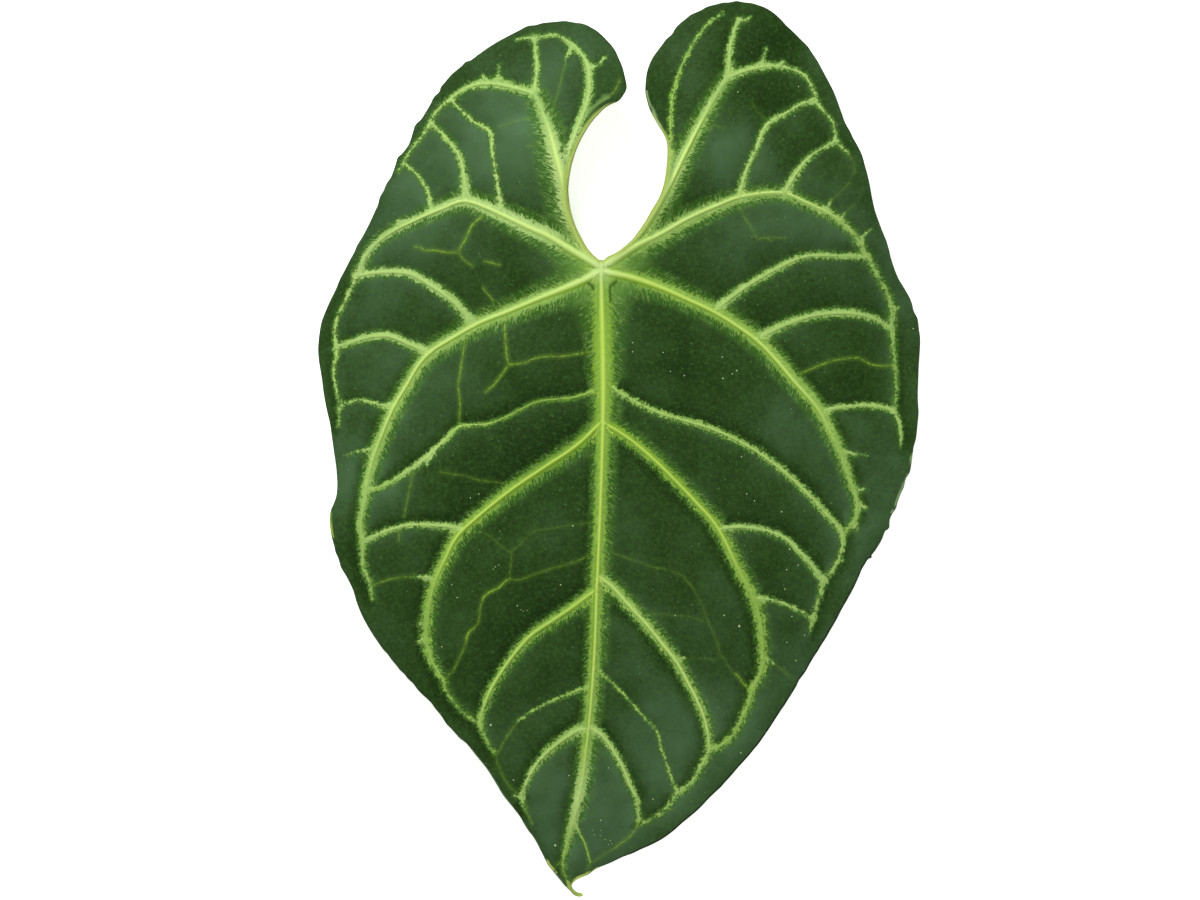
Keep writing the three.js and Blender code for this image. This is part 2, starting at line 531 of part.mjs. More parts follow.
// A closed body between two heights over the same facets
function slabOf(triangles, low, high) {
  const positions = [];
  const addFace = (...corners) => {
    for (const [k, heights] of corners) positions.push(...points[k], heights[k]);
  };
  const border = new Map();
  for (const [a, b, c] of triangles) {
    const [ax, ay] = points[a];
    const turn = (points[b][0] - ax) * (points[c][1] - ay) - (points[b][1] - ay) * (points[c][0] - ax);
    const [p, q, r] = turn > 0 ? [a, b, c] : [a, c, b];
    addFace([p, high], [q, high], [r, high]);
    addFace([p, low], [r, low], [q, low]);
    for (const [from, to] of [[p, q], [q, r], [r, p]]) {
      if (border.has(`${to},${from}`)) border.delete(`${to},${from}`);
      else border.set(`${from},${to}`, [from, to]);
    }
  }
  for (const [from, to] of border.values()) {
    addFace([from, high], [from, low], [to, low]);
    addFace([from, high], [to, low], [to, high]);
  }
  const geometry = new THREE.BufferGeometry();
  geometry.setAttribute('position', new THREE.Float32BufferAttribute(positions, 3));
  return mergeVertices(geometry, 1e-4);
}

// The cut stalk, a tube of changing radius with flat ends
function stalkGeometry(hubHeight) {
  const middles = stalkLine.map(({ y, drop }) => new THREE.Vector3(stalkX, y, hubHeight - drop));
  const path = new THREE.CatmullRomCurve3(middles, false, 'centripetal');
  const rings = [];
  for (let i = 0; i <= stalkRings; i += 1) {
    const middle = path.getPoint(i / stalkRings);
    const tangent = path.getTangent(i / stalkRings);
    const across = new THREE.Vector3(1, 0, 0);
    const other = new THREE.Vector3().crossVectors(tangent, across).normalize();
    const radius = valueAlong(stalkLine.map((place) => place.radius), i / stalkRings);
    rings.push(Array.from({ length: stalkSides }, (_, k) => {
      const angle = 2 * Math.PI * k / stalkSides;
      return middle.clone()
        .addScaledVector(across, radius * Math.cos(angle))
        .addScaledVector(other, radius * Math.sin(angle));
    }));
  }
  const positions = [];
  const addFace = (...corners) => corners.forEach((corner) => positions.push(corner.x, corner.y, corner.z));
  for (let k = 0; k < stalkSides; k += 1) {
    const next = (k + 1) % stalkSides;
    for (let i = 0; i < stalkRings; i += 1) {
      addFace(rings[i][k], rings[i + 1][next], rings[i + 1][k]);
      addFace(rings[i][k], rings[i][next], rings[i + 1][next]);
    }
    addFace(path.getPoint(0), rings[0][next], rings[0][k]);
    addFace(path.getPoint(1), rings[stalkRings][k], rings[stalkRings][next]);
  }
  const geometry = new THREE.BufferGeometry();
  geometry.setAttribute('position', new THREE.Float32BufferAttribute(positions, 3));
  return mergeVertices(geometry, 1e-4);
}

function solidOf(geometry) {
  return new wasm.Manifold(new wasm.Mesh({
    numProp: 3,
    vertProperties: new Float32Array(geometry.attributes.position.array),
    triVerts: new Uint32Array(geometry.index.array),
  }));
}

function geometryOf(solid) {
  const mesh = solid.getMesh();
  const geometry = new THREE.BufferGeometry();
  geometry.setAttribute('position', new THREE.BufferAttribute(new Float32Array(mesh.vertProperties), 3));
  geometry.setIndex(new THREE.BufferAttribute(new Uint32Array(mesh.triVerts), 1));
  return geometry;
}

function leafBlade() {
  const material = new THREE.MeshStandardMaterial({ color: 0x35562a, roughness: 0.55, metalness: 0 });
  const mesh = new THREE.Mesh(slabOf(bladeTriangles, bladeLow, bladeHigh), material);
  mesh.name = 'leaf_blade';
  return mesh;
}

function ribNet() {
  const atHub = points.findIndex(([x, y]) => isInNotch(x, y));
  const net = solidOf(slabOf(netTriangles, netLow, netHigh));
  const stalk = solidOf(stalkGeometry(netLow[atHub]));
  const material = new THREE.MeshStandardMaterial({ color: 0x9cc25c, roughness: 0.5, metalness: 0 });
  const mesh = new THREE.Mesh(geometryOf(net.add(stalk)), material);
  mesh.name = 'rib_net';
  return mesh;
}

// The leaf lies on its box's bottom centre
const group = new THREE.Group();
group.add(leafBlade(), ribNet());
const box = new THREE.Box3().setFromObject(group);
group.position.set(-(box.min.x + box.max.x) / 2, -(box.min.y + box.max.y) / 2, -box.min.z);

export default group;
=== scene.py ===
import math
import bpy
import numpy as np
from mathutils.geometry import delaunay_2d_cdt
from mathutils.kdtree import KDTree
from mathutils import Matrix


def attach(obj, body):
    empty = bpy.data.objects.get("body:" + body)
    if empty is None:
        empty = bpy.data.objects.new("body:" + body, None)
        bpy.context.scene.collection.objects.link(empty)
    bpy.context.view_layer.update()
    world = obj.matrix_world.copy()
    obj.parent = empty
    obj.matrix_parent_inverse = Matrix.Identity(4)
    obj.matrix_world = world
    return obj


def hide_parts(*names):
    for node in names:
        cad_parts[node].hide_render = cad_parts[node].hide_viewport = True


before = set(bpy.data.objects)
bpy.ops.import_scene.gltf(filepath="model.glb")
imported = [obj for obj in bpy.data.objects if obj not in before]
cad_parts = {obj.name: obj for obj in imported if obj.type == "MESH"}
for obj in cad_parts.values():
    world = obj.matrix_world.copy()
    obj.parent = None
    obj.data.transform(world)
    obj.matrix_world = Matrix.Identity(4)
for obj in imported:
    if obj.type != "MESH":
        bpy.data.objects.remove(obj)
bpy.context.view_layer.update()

# A picked anthurium leaf that lies face up. Lengths are mm on the leaf, and metres once a mesh is made.
mm = 0.001
leafShift = np.array([-0.3367, 0.0708])  # from the drawing's zero to the middle of the part's box
hub = np.array([-6.2, 65.3])             # where the ribs meet
brightSide = np.array([-0.35, 0.94])     # the way that the bright side of each ridge looks

# The form of the blade's middle sheet, as the CAD has it
leafForm = {
    # (y, value) down the leaf: the line that it arches over, its height there and how far its sides drop
    "axisX": ((-165, -17), (-120, -13), (-60, -8.2), (0, -5.6), (65, -6), (165, 5)),
    "arch": ((-165, 0), (-150, 3.5), (-120, 10), (-60, 18.5), (0, 23.5), (65, 25.5), (110, 23), (165, 15)),
    "sideDrop": ((-165, 2), (-120, 12), (-60, 15), (0, 17), (45, 20.5), (90, 16), (165, 9)),
    "halfSpan": 106,       # the drop is full this far from the line
    "swells": (            # x, y, spread, height
        (19, 104, 17, 5.5), (-17, 106, 16, 4.5), (3, 129, 8, 5), (44, 158, 20, 2.5), (-88, 88, 20, 3),
        (90, 96, 22, 2.2), (-104, -24, 12, 2.6), (-82, -76, 16, -1.6), (70, -78, 22, -1.4),
        (-26, -151, 7, 2)),
    "quiltHeight": 3.2, "quiltReach": 8.5, "marginFlat": 5,   # the domes between the ribs
    "rippleHeight": 0.9, "rippleReach": 11,                    # the waves of the margin
    "rippleTurns": (9, 17), "rippleStart": 0.6, "rippleSecond": 0.6,
    "feet": ((-108.2, 40.5), (108.9, 42), (-15.4, -161)),     # the low points that it rests on
    "footDip": 2.2, "footSpread": 15, "footReach": 7,
    "thickness": 0.9, "thinEdge": 0.44, "edgeRound": 0.6, "outlineStep": 1.0,
    "underRib": 1.5, "underFade": (0.3, 4),  # relief of the ribs below, and where it grows from the margin
}

# The outline, from the bottom of the sinus up the left lobe, down to the drip tip and back
outlinePoints = (
    (-5.8, 67.5), (-7.4, 68.4), (-9.4, 70.2), (-11.4, 72.6), (-13.4, 76.2), (-15.4, 80.2), (-16.8, 84.6),
    (-17.6, 88.6), (-18, 92.6), (-17.8, 96.2), (-17.2, 100.2), (-16.2, 104.2), (-15, 107.8),
    (-13.4, 111.3), (-11.8, 114.2), (-10, 117), (-7.4, 120), (-5, 122.4), (-2.2, 124), (0, 125),
    (1.8, 127.2), (2.9, 129.4), (2.9, 130.6), (2.2, 134.2), (1.4, 137.4), (0, 140.8), (-1.4, 143.8),
    (-3.8, 146.8), (-7, 150), (-10, 152), (-12.6, 153.2), (-15.8, 153.7), (-19.4, 154.3), (-23, 154),
    (-27.4, 153.6), (-29.8, 152.9), (-32.6, 152.6), (-35.8, 151), (-40, 148.8), (-43, 147.2),
    (-46.6, 145), (-50, 142.6), (-53.6, 140), (-55, 139.7), (-56.4, 138.2), (-60, 135.2), (-62.4, 132.4),
    (-64, 130.6), (-64.4, 129), (-66.6, 126.8), (-67.4, 125), (-69.6, 121.2), (-71, 119), (-73.2, 116.8),
    (-73.8, 115), (-74.8, 111.6), (-75.6, 109.6), (-78, 106.4), (-79.4, 105.2), (-80, 103.4),
    (-80.8, 100.8), (-82, 97.8), (-83.4, 95.8), (-84.6, 93), (-86, 90.6), (-86.4, 88.6), (-88, 85),
    (-90, 80.8), (-92.4, 76.4), (-94.4, 73.2), (-95, 71.6), (-97.2, 67.6), (-99.2, 63.8), (-100.4, 61.6),
    (-102, 57.8), (-104, 53.8), (-105.8, 49.8), (-107.2, 46.2), (-107.9, 42.6), (-108.3, 39.4),
    (-108.5, 36.2), (-108.2, 32.2), (-107.6, 28.6), (-107, 25), (-106.6, 21.8), (-106, 18.2),
    (-105.2, 14.2), (-104, 9.2), (-103.6, 6.2), (-103.1, 2.6), (-102.6, -1), (-102, -5), (-101.6, -9),
    (-101.4, -13), (-101.8, -17), (-102.8, -19.8), (-103.8, -22.2), (-104.1, -25), (-103.8, -29),
    (-103.2, -32.2), (-102.4, -35), (-102, -37), (-101, -39.2), (-100, -42.6), (-98.4, -45.2),
    (-96.8, -48.2), (-95.6, -50.8), (-94.6, -54.4), (-93.6, -57.2), (-92.2, -60.4), (-90, -64.4),
    (-88, -67.6), (-86.2, -70.2), (-84.8, -72.2), (-83.4, -73.6), (-82, -75.6), (-80, -78),
    (-78.8, -79.6), (-77.2, -81), (-76, -82.6), (-74, -84.4), (-72.4, -86.6), (-70.6, -88.4),
    (-68.8, -90), (-67.4, -91.4), (-66, -93.4), (-64.6, -95), (-63.4, -96.6), (-62, -98.8),
    (-60.4, -100.4), (-58.8, -102.2), (-57, -104.2), (-55, -105.6), (-53, -108), (-51, -110.6),
    (-49, -113), (-47, -115.6), (-45.4, -118.2), (-43.8, -120.8), (-42.2, -123.6), (-40.8, -125.6),
    (-39, -127.8), (-37.2, -130), (-35.4, -132.4), (-34, -135), (-32.6, -137.2), (-31, -139.2),
    (-29.4, -141.8), (-28.2, -144.2), (-27, -146.6), (-26, -148.8), (-25.2, -150.2), (-24, -151.6),
    (-22.8, -153.2), (-21, -155.4), (-19.8, -157), (-18.8, -158), (-17.6, -159.2), (-16.4, -160.6),
    (-15.2, -161.3), (-13.6, -161.5), (-12.6, -161), (-13, -160.3), (-14.4, -160), (-15.6, -159.4),
    (-16.6, -158.4), (-16.9, -157.4), (-16.4, -156.4), (-15.2, -155.4), (-13.8, -154.6), (-12.2, -154),
    (-10.6, -153.2), (-9, -152), (-7, -150.8), (-5, -150), (-3, -149.2), (-1, -148.2), (1, -147.2),
    (3, -146.4), (5, -145.7), (8, -144.2), (12, -142.4), (16, -140.2), (20, -137.2), (22.4, -135),
    (24.8, -133), (27.2, -131), (29.6, -128.8), (32, -126.2), (34.4, -123.8), (36.6, -121.8),
    (38.6, -119.6), (40.6, -117.4), (42.8, -114.8), (44.8, -112.6), (46.8, -110.4), (48.6, -108.2),
    (50.6, -105.8), (52.4, -103.2), (54.6, -100), (56.4, -97.2), (58.2, -94.4), (60, -91.8), (62, -88.6),
    (64, -85.4), (65, -83.2), (67.4, -80), (68.8, -77.4), (70.2, -75), (71.8, -72.6), (73.2, -70.2),
    (75, -67.4), (76.4, -64.8), (77.6, -62.8), (78.8, -60.6), (79.8, -58.6), (81, -56.4), (82.4, -54),
    (83.6, -51.8), (84.8, -49.6), (85.8, -47.4), (86.8, -45.2), (87.4, -43.6), (88.8, -41.2), (90, -39.4),
    (91.2, -39), (91.2, -38), (92.2, -36.8), (93.4, -35), (95, -32.2), (96.2, -29.2), (97.4, -28.6),
    (97.8, -25), (98.8, -23), (100, -21.2), (100.6, -19), (101.8, -15.8), (102.8, -13.8), (103.6, -10.6),
    (105, -8.2), (105.6, -5), (106, -2.2), (106.4, 1), (107.2, 3.8), (107.6, 7), (108, 11), (108.2, 13.4),
    (108, 17), (108, 21), (108.2, 25), (108.4, 29.8), (108.8, 35), (109, 40.2), (108.5, 43.8),
    (108, 47.4), (106.6, 50), (106, 52.6), (105, 55), (103, 58.4), (101, 61.6), (99.4, 65.4), (98.2, 69),
    (97.4, 72.2), (96.4, 75.4), (95, 78.6), (93.6, 82.2), (92.2, 86.2), (91.2, 90.6), (90.4, 95),
    (89.6, 98.6), (88.6, 102.2), (87.6, 105.8), (86, 109.2), (84.4, 112), (83.2, 114.6), (81.6, 117.4),
    (80.4, 120.8), (79.2, 124.2), (78.2, 127), (77, 129.8), (75, 133.6), (73.4, 136.6), (71.8, 139.6),
    (69.8, 142.6), (68.2, 145), (65.6, 147.6), (63, 150.2), (60.2, 152.8), (58.8, 154.4), (56, 157),
    (53.2, 158.8), (50.4, 159.9), (47.6, 160.7), (45.2, 160.9), (42.4, 161.4), (40, 160.9), (37.6, 160.8),
    (34.8, 160.1), (31.6, 159.2), (29.6, 158), (26, 156.4), (24, 154.8), (21.8, 153), (20.2, 151.2),
    (19.4, 149.6), (17.2, 147.6), (15.4, 145.2), (13.6, 142.8), (12, 140.4), (10.6, 137), (10, 134.6),
    (9.6, 130.6), (9.6, 127.8), (10.2, 125), (11.2, 121.8), (12.8, 118.6), (15, 115), (16, 113.4),
    (17.2, 110.6), (17.5, 107.8), (17.4, 104.2), (17, 99.8), (16.4, 96.2), (15.4, 92.6), (14, 89.4),
    (12, 86.2), (10, 82.6), (7.6, 79), (5, 75.5), (2.3, 73), (0, 71.2), (-2.2, 70), (-4.2, 69))

# Every rib, with the full widths of its pale band evenly along it, and its line. Its other values say:
# ridge, how far it stands up; yellow, from pale green at 0 to yellow green at 1; the shaded furrow, how
# dark the line beside its crest is, a real dark line deepened with painted shade on the side away from the
# light; crestAt, how far its crest and the painted highlight on it lie towards the light; crestAtHub, how
# much wider the crest is at the hub; crestEnd, the share of the rib where the crest has faded; fray, how
# ragged the band's edge is; barbs, how long its barbs are.
ribLines = [
    # midrib
    dict(ridge=1.5, yellow=1, crestAtHub=-0.3, fray=0.9, widths=(7, 7.6, 8, 8, 7.8, 6.7, 5.8, 5.3, 5, 5,
        5, 4.9, 4.8, 4.7, 4.6, 4.4, 4.3, 4.3, 4.3, 3.9, 2.9, 1.3, 0.5), line=[(-6.2, 65.3), (-6, 53),
        (-5.6, 37), (-5.4, 21), (-5.7, 3), (-6.2, -13), (-6.8, -29), (-7.8, -50), (-8.5, -70),
        (-9.8, -90), (-11.9, -110), (-13.2, -120), (-15.4, -130), (-19, -144), (-20, -149), (-19.6, -153),
        (-17.8, -157.4)]),
    # ribs that run back into the lobes, bare along the sinus
    dict(ridge=1.2, yellow=0.3, crestAt=0.2, furrow=0.2, barbs=1.45, fray=0.9,
        widths=(4, 4, 5.8, 7, 5, 3.2), line=[(-7.4, 66.6), (-12.6, 71.8), (-16.2, 79), (-19, 86),
        (-19.8, 94), (-22.2, 104), (-25.2, 115), (-30.2, 128.2)]),
    dict(ridge=1.2, yellow=0.35, furrow=1, fray=0.9, widths=(4, 5, 5.6, 5, 4, 3), line=[(-4.6, 66.6),
        (6, 75.4), (12.8, 84.6), (18.8, 95.8), (24.8, 108.2), (31.2, 120.6), (35.2, 127.8), (39.6, 134)]),
    # upper side ribs, with the right one running on inside the margin
    dict(ridge=1.1, yellow=0.1, furrow=0.6, crestAt=-0.1, fray=0.9,
        widths=(5, 6.2, 6, 5, 4, 3.2, 2.6, 2.2), line=[(-7.4, 66), (-17, 71.8), (-25, 76.6), (-33, 80.2),
        (-43, 85), (-51, 88.4), (-56, 89.4), (-64, 86.6), (-72, 83.2), (-82, 78.2), (-88, 73.6),
        (-92, 68.2), (-94.2, 62.8)]),
    dict(ridge=1.1, yellow=0.4, furrow=0.4, crestAt=0.4, crestEnd=0.65,
        widths=(5, 5.6, 5.2, 4.8, 3.6, 3, 2.4, 1.8, 1.5, 2, 1, 0.4), line=[(-4.8, 66), (6.1, 72.7),
        (15.2, 77), (25.2, 82.6), (35.1, 87), (44.1, 90.4), (59.3, 91.9), (66.2, 89.1), (77.4, 83.6),
        (83.8, 78.2), (89, 70.6), (93.4, 62.6), (98.2, 53), (98.6, 43), (99.6, 32), (100.2, 22.4),
        (99.5, 14.8)]),
    # middle side ribs
    dict(ridge=1.1, yellow=0.5, furrow=1.3, crestAt=0.3, fray=1, crestEnd=0.8,
        widths=(5.4, 5.9, 6.1, 5.8, 5.5, 5.1, 4.8, 4.5, 4.4, 4.4, 4.3, 3.8, 2.8, 2.3, 1.7, 0.5),
        line=[(-6.8, 63.8), (-17, 58.8), (-30, 53.4), (-40, 49.2), (-50, 45.2), (-60, 39.6),
        (-67.6, 34.8), (-72, 29.8), (-76.5, 22.2), (-80.5, 15.6), (-84.6, 6.2), (-88.7, -5),
        (-91.6, -18.2), (-92.8, -26), (-92.2, -34), (-92, -42), (-89.4, -49.2), (-88.8, -54)]),
    dict(ridge=1.1, yellow=0.8, furrow=1, crestAt=-0.2, fray=1, crestEnd=0.8,
        widths=(5, 5.8, 5.4, 5, 5, 5, 4.8, 4.4, 3.4, 2.4, 1), line=[(-5.6, 63.8), (4, 62), (15, 58.4),
        (25, 54), (34, 49.8), (42, 45), (50, 39.2), (56, 33.2), (63, 25), (71.8, 14.8), (76.6, 5.8),
        (80.6, -2.6), (83, -10.6), (85.8, -18.2), (85.2, -25), (80.6, -30.6)]),
    # lower side ribs
    dict(ridge=1.1, yellow=1, furrow=1.2, fray=1.5, crestEnd=0.68,
        widths=(4.6, 4.6, 4.6, 4.6, 4.4, 4, 3.8, 3.4, 2.6, 0.8, 0.5), line=[(-6.2, 9.8), (-15, 1.5),
        (-27, -6.6), (-39, -14.8), (-51, -24.5), (-57.8, -31), (-62.7, -39.8), (-66.4, -48.2),
        (-68.4, -56.6), (-69.2, -65), (-68.6, -72.6), (-66.6, -77.4), (-63.8, -82.2), (-61.4, -88.2),
        (-57, -93.6), (-53.2, -97), (-49.8, -98.4)]),
    dict(ridge=1.1, yellow=1, furrow=0.8, fray=1.7, crestEnd=0.58,
        widths=(4.2, 4, 3.8, 3.8, 4, 4, 3.8, 3.4, 2.8, 2.2, 1.9, 1.7), line=[(-5.4, 9.8), (4, 3.8),
        (12, -2.8), (20, -10.6), (28, -19), (34.4, -26.2), (38.4, -33), (41.4, -39.4), (44.8, -46.2),
        (48.2, -52.6), (50, -58.2), (51.4, -65.4), (51.8, -72.6), (52, -77), (50, -83), (48, -86),
        (47.4, -89.4), (44.8, -96.2), (40.4, -103.6), (36, -107), (32.6, -107.8)]),
    # the two pairs of side ribs nearest the tip
    dict(ridge=1, yellow=0.85, furrow=0.7, crestAt=0.15, fray=1.4,
        widths=(4.6, 3.8, 3.7, 3.5, 3, 2.6, 2.6, 1.4, 0.7), line=[(-8, -50.6), (-15, -55.6),
        (-23.8, -61.6), (-31.4, -66.8), (-37, -73), (-41.8, -79.6), (-46, -86.6), (-48.4, -92.6),
        (-49.8, -98.2), (-48.4, -103), (-45, -109)]),
    dict(ridge=1, yellow=0.5, fray=1.6, crestEnd=0.8,
        widths=(4.2, 3.9, 3.9, 3.8, 3.6, 3.2, 3, 2.8, 2.1, 1.8, 1.6, 0.8, 0.3), line=[(-7.6, -45.2),
        (-1.4, -50), (4, -56.2), (10, -62.6), (16.6, -70.8), (21.2, -76.8), (24.6, -83), (28.2, -90),
        (31, -97), (32.4, -104.6), (32.4, -108.4), (29.8, -113.8), (26.2, -119.8), (21.2, -124),
        (16.8, -129.6), (8, -135.2)]),
    dict(ridge=0.8, yellow=0.3, widths=(4.6, 3.6, 3.2, 2.6, 2, 1.3, 0.6), line=[(-10.8, -100.4),
        (-15, -101.2), (-21, -105), (-27, -110.2), (-31, -115.4), (-33.8, -121.4), (-35, -125.4),
        (-33.6, -129.8)]),
    dict(ridge=0.8, yellow=0.3, widths=(3.6, 2.5, 2.3, 2.3, 2, 1.6, 1.2), line=[(-10.6, -99.8),
        (-5.8, -103), (-1, -109.8), (1.8, -115), (4.2, -121), (6.6, -126.2), (7.4, -133.4)]),
    dict(ridge=0.5, yellow=0.8, fray=0.4, widths=(0.9, 0.7, 0.6), line=[(-16.6, -132), (-14.6, -137),
        (-11.8, -143), (-10.2, -149)]),
    # ribs between the side ribs
    dict(yellow=0.7, fray=1, widths=(1.4, 1.1, 1.1, 1, 1, 2, 2, 1.9, 1.7), line=[(-6.2, 22.4), (-15, 19),
        (-29.4, 17), (-38.5, 12.6), (-47, 9.2), (-57.2, 8.2), (-62.4, 3.4), (-69.8, -3.4), (-77.2, -8.6),
        (-83.6, -12.6), (-90, -14.6)]),
    dict(yellow=0.4, fray=1.5, widths=(2, 1.7, 2.1, 2.3, 2.3, 2.3, 2.5, 2, 1.5, 1.4, 0.7),
        line=[(-5, 24.4), (4, 18.2), (15, 13.1), (25, 10.1), (34, 7.3), (46, 1.6), (56.8, -5.8),
        (67, -14.8), (74.2, -22.6), (80.4, -30.6), (79.6, -38.8), (76.8, -43.8), (73.8, -47.4),
        (72.6, -52.2), (71, -57.4), (69, -65)]),
    dict(ridge=0.5, yellow=0.6, widths=(1.5, 0.6, 0.4), line=[(-10.6, -85), (-19, -88.4), (-29.4, -93),
        (-36.2, -97.6)]),
    dict(ridge=0.5, yellow=0.6, widths=(1, 0.6, 0.7, 0.6, 0.8), line=[(-8.6, -78), (-2.6, -83.6),
        (4, -90.4), (9.4, -96.6), (13.8, -101.4), (15.6, -107.8), (17.8, -114.6), (21.2, -124)]),
    # branches of the left half
    dict(widths=(3, 3.4, 3, 1.6, 1, 0.9, 0.7, 0.4), line=[(-30.2, 128.2), (-35.8, 129.8), (-45, 131.8),
        (-52.8, 131), (-60, 126.6), (-66, 121), (-69.6, 114.2), (-75.2, 107), (-79.2, 100)]),
    dict(ridge=0.6, fray=1.2, widths=(2.4, 1.8, 1.4), line=[(-30.2, 128.2), (-29.4, 139),
        (-30.4, 148.2)]),
    dict(ridge=0.6, fray=1.1, widths=(1.2, 1.8, 2.8, 3, 2.8, 2, 1.4, 1.2), line=[(-19.6, 96),
        (-18, 106.2), (-15.8, 113), (-11.4, 125), (-10.6, 133), (-12.2, 140.6), (-17.4, 146.2),
        (-23, 149), (-30.4, 148.2)]),
    dict(widths=(0.7, 1, 1.6, 1, 1, 1.2, 2.6), line=[(-60.6, 126), (-56.4, 121.8), (-51.2, 117.2),
        (-46.4, 114.4), (-45.4, 106.6), (-43.8, 97.8), (-42, 85)]),
    dict(widths=(1.2, 2, 2.5, 3.6), line=[(-67.4, 117.6), (-61.2, 111), (-57.2, 105.4), (-55.4, 97.4),
        (-54.8, 89.4)]),
    dict(widths=(0.7, 1, 1.2, 2.2), line=[(-77, 103), (-71.6, 97.8), (-68.6, 92.6), (-67, 85.6)]),
    dict(fray=1.2, widths=(1.4, 0.9, 0.9, 1.5, 0.7, 0.4, 0.3), line=[(-94.2, 62.8), (-98.4, 53.8),
        (-101.8, 46.2), (-102.4, 40), (-101.6, 35.4), (-102.8, 28.2), (-101.8, 21.8), (-100.6, 16),
        (-101.2, 8)]),
    dict(widths=(2.4, 3, 3.1, 3.8), line=[(-94.2, 62.8), (-84.4, 64), (-74.8, 63.2), (-68, 59.4),
        (-60.4, 54.2), (-51.4, 44.6)]),
    dict(widths=(3.6, 3, 2.8, 2.6, 1.8), line=[(-67.4, 34.4), (-75.2, 38), (-82.8, 41), (-89.2, 40.8),
        (-97.2, 38.4), (-102, 37)]),
    dict(ridge=0.6, fray=1.2, widths=(3.4, 1.4, 1.1, 0.9, 0.9), line=[(-79.6, 16.4), (-85.2, 16),
        (-92.4, 17.8), (-100.8, 15.9)]),
    dict(widths=(3, 2, 1.8, 1.8), line=[(-55.6, -28.4), (-64, -27.4), (-75.6, -27.2), (-84.8, -29.8),
        (-92.4, -33.8)]),
    # branches of the right half
    dict(fray=1.1, widths=(2.6, 2.6, 2.4, 1.6, 1.2, 1.2, 0.8, 0.6, 0.5, 0.8, 0.4), line=[(39.6, 134),
        (46, 136.4), (54, 138), (62, 136.9), (67, 134.4), (70.6, 128.2), (71.2, 125), (77.2, 117.4),
        (78.2, 111), (82.6, 106.4)]),
    dict(ridge=0.6, widths=(3.2, 2.4, 1.8, 1.2), line=[(39.6, 134), (40.2, 145), (43, 154.4)]),
    dict(ridge=0.5, yellow=0.8, fray=1.5, widths=(1.1, 1.2, 1.4, 1.5, 1, 0.7, 0.4), line=[(17.4, 93),
        (18.8, 107), (18.7, 121), (21.2, 133.4), (26, 144.6), (32.8, 153.8), (37.6, 156.8)]),
    dict(widths=(2.8, 1.8, 1.6, 1.8, 1.5, 1.6), line=[(43.2, 90.4), (45.4, 98.8), (49.2, 107.4),
        (53.6, 117), (59.8, 120.6), (66.2, 124.4), (71, 125.2)]),
    dict(widths=(3.6, 2.6, 1.8, 1.3, 1.2), line=[(59.4, 92), (64.2, 99.8), (69, 105.4), (78.2, 111)]),
    dict(widths=(3.4, 2.6, 2.2, 1.8), line=[(34.4, 50), (44, 57.4), (56, 64.6), (67, 69.4), (80.6, 69.6),
        (89.4, 69.2)]),
    dict(widths=(3.6, 2.9, 2.8, 1.6), line=[(49, 39.6), (59, 44.6), (71.8, 48.6), (85.4, 49),
        (93.4, 46.6), (98.6, 43)]),
    dict(ridge=0.6, fray=1.1, widths=(2.4, 1.8, 1.8, 1.5, 0.5), line=[(72.4, 13.6), (80.6, 15.4),
        (92.6, 15.7), (98.6, 14), (100.8, 10.6), (101.6, 6.2), (101.8, 1)]),
    dict(widths=(2.6, 2, 1.9, 2.4), line=[(35.6, -28.4), (44, -27.8), (52, -28.8), (59.2, -31.4),
        (65.6, -37.2), (70.8, -43.4), (73.8, -47.4)]),
    dict(ridge=0.6, widths=(2.6, 1.4, 1, 0.9), line=[(48.4, -53.4), (55.2, -54), (62.6, -56.8),
        (69.8, -61)])]

# Short side spurs of the net, each tapering to a point: first full width, then its line
ribSpurs = (
    (1.6, (-48.6, 131.4), (-48.6, 132.8), (-48.6, 134.8)),
    (1.5, (-43.3, 131.4), (-43.2, 133.6), (-43, 138.6)),
    (1.2, (-31, 148.2), (-32.6, 148.2), (-37, 147.4)), (1.3, (-10.4, 136.6), (-7.4, 138.4), (-4.6, 141)),
    (1.3, (-16.6, 145.4), (-17.2, 143.8), (-18.6, 141.4), (-19.2, 139)),
    (1.3, (-79.2, 79.6), (-79.2, 83)), (1.4, (-86.6, 0.6), (-90, 0), (-94.8, -1), (-98.8, -2.2)),
    (1.2, (-68.4, -2.6), (-68.6, -4), (-68.8, -5.8)), (1.5, (51.2, 137.2), (52.4, 142.2), (53.2, 144.4)),
    (1.3, (59, 137.4), (59, 139.6)), (1.4, (43.2, 154.6), (45.2, 154.4), (47.6, 155.6)),
    (1.4, (98.4, 50.2), (101, 51)), (1.5, (73, 85.6), (74.2, 86), (76.6, 89.8)),
    (1.4, (79, 82), (79.8, 82.5), (81, 84.8)), (1.3, (87.4, 74), (88.2, 76.6), (91, 79.4)),
    (1.6, (80, -1), (83, -1.2), (85.4, -1.6), (89.4, -2)), (1.4, (84.8, -15), (89, -14.2)),
    (1.3, (86, -20), (89.8, -21.2)), (1.3, (84.6, -26.8), (86.6, -30)),
    (2.8, (-66.6, -46.6), (-69.6, -46), (-73.8, -45.8)), (1.6, (-68.8, -61), (-72.2, -63)),
    (1.6, (-69, -67.8), (-72.8, -69.4)), (1.3, (-34.4, -125.4), (-36.2, -125), (-37.8, -124.6)),
    (1.4, (20.4, -74.6), (23.6, -75)), (1.6, (51.6, -74.6), (53.8, -75.6), (55.8, -77)))

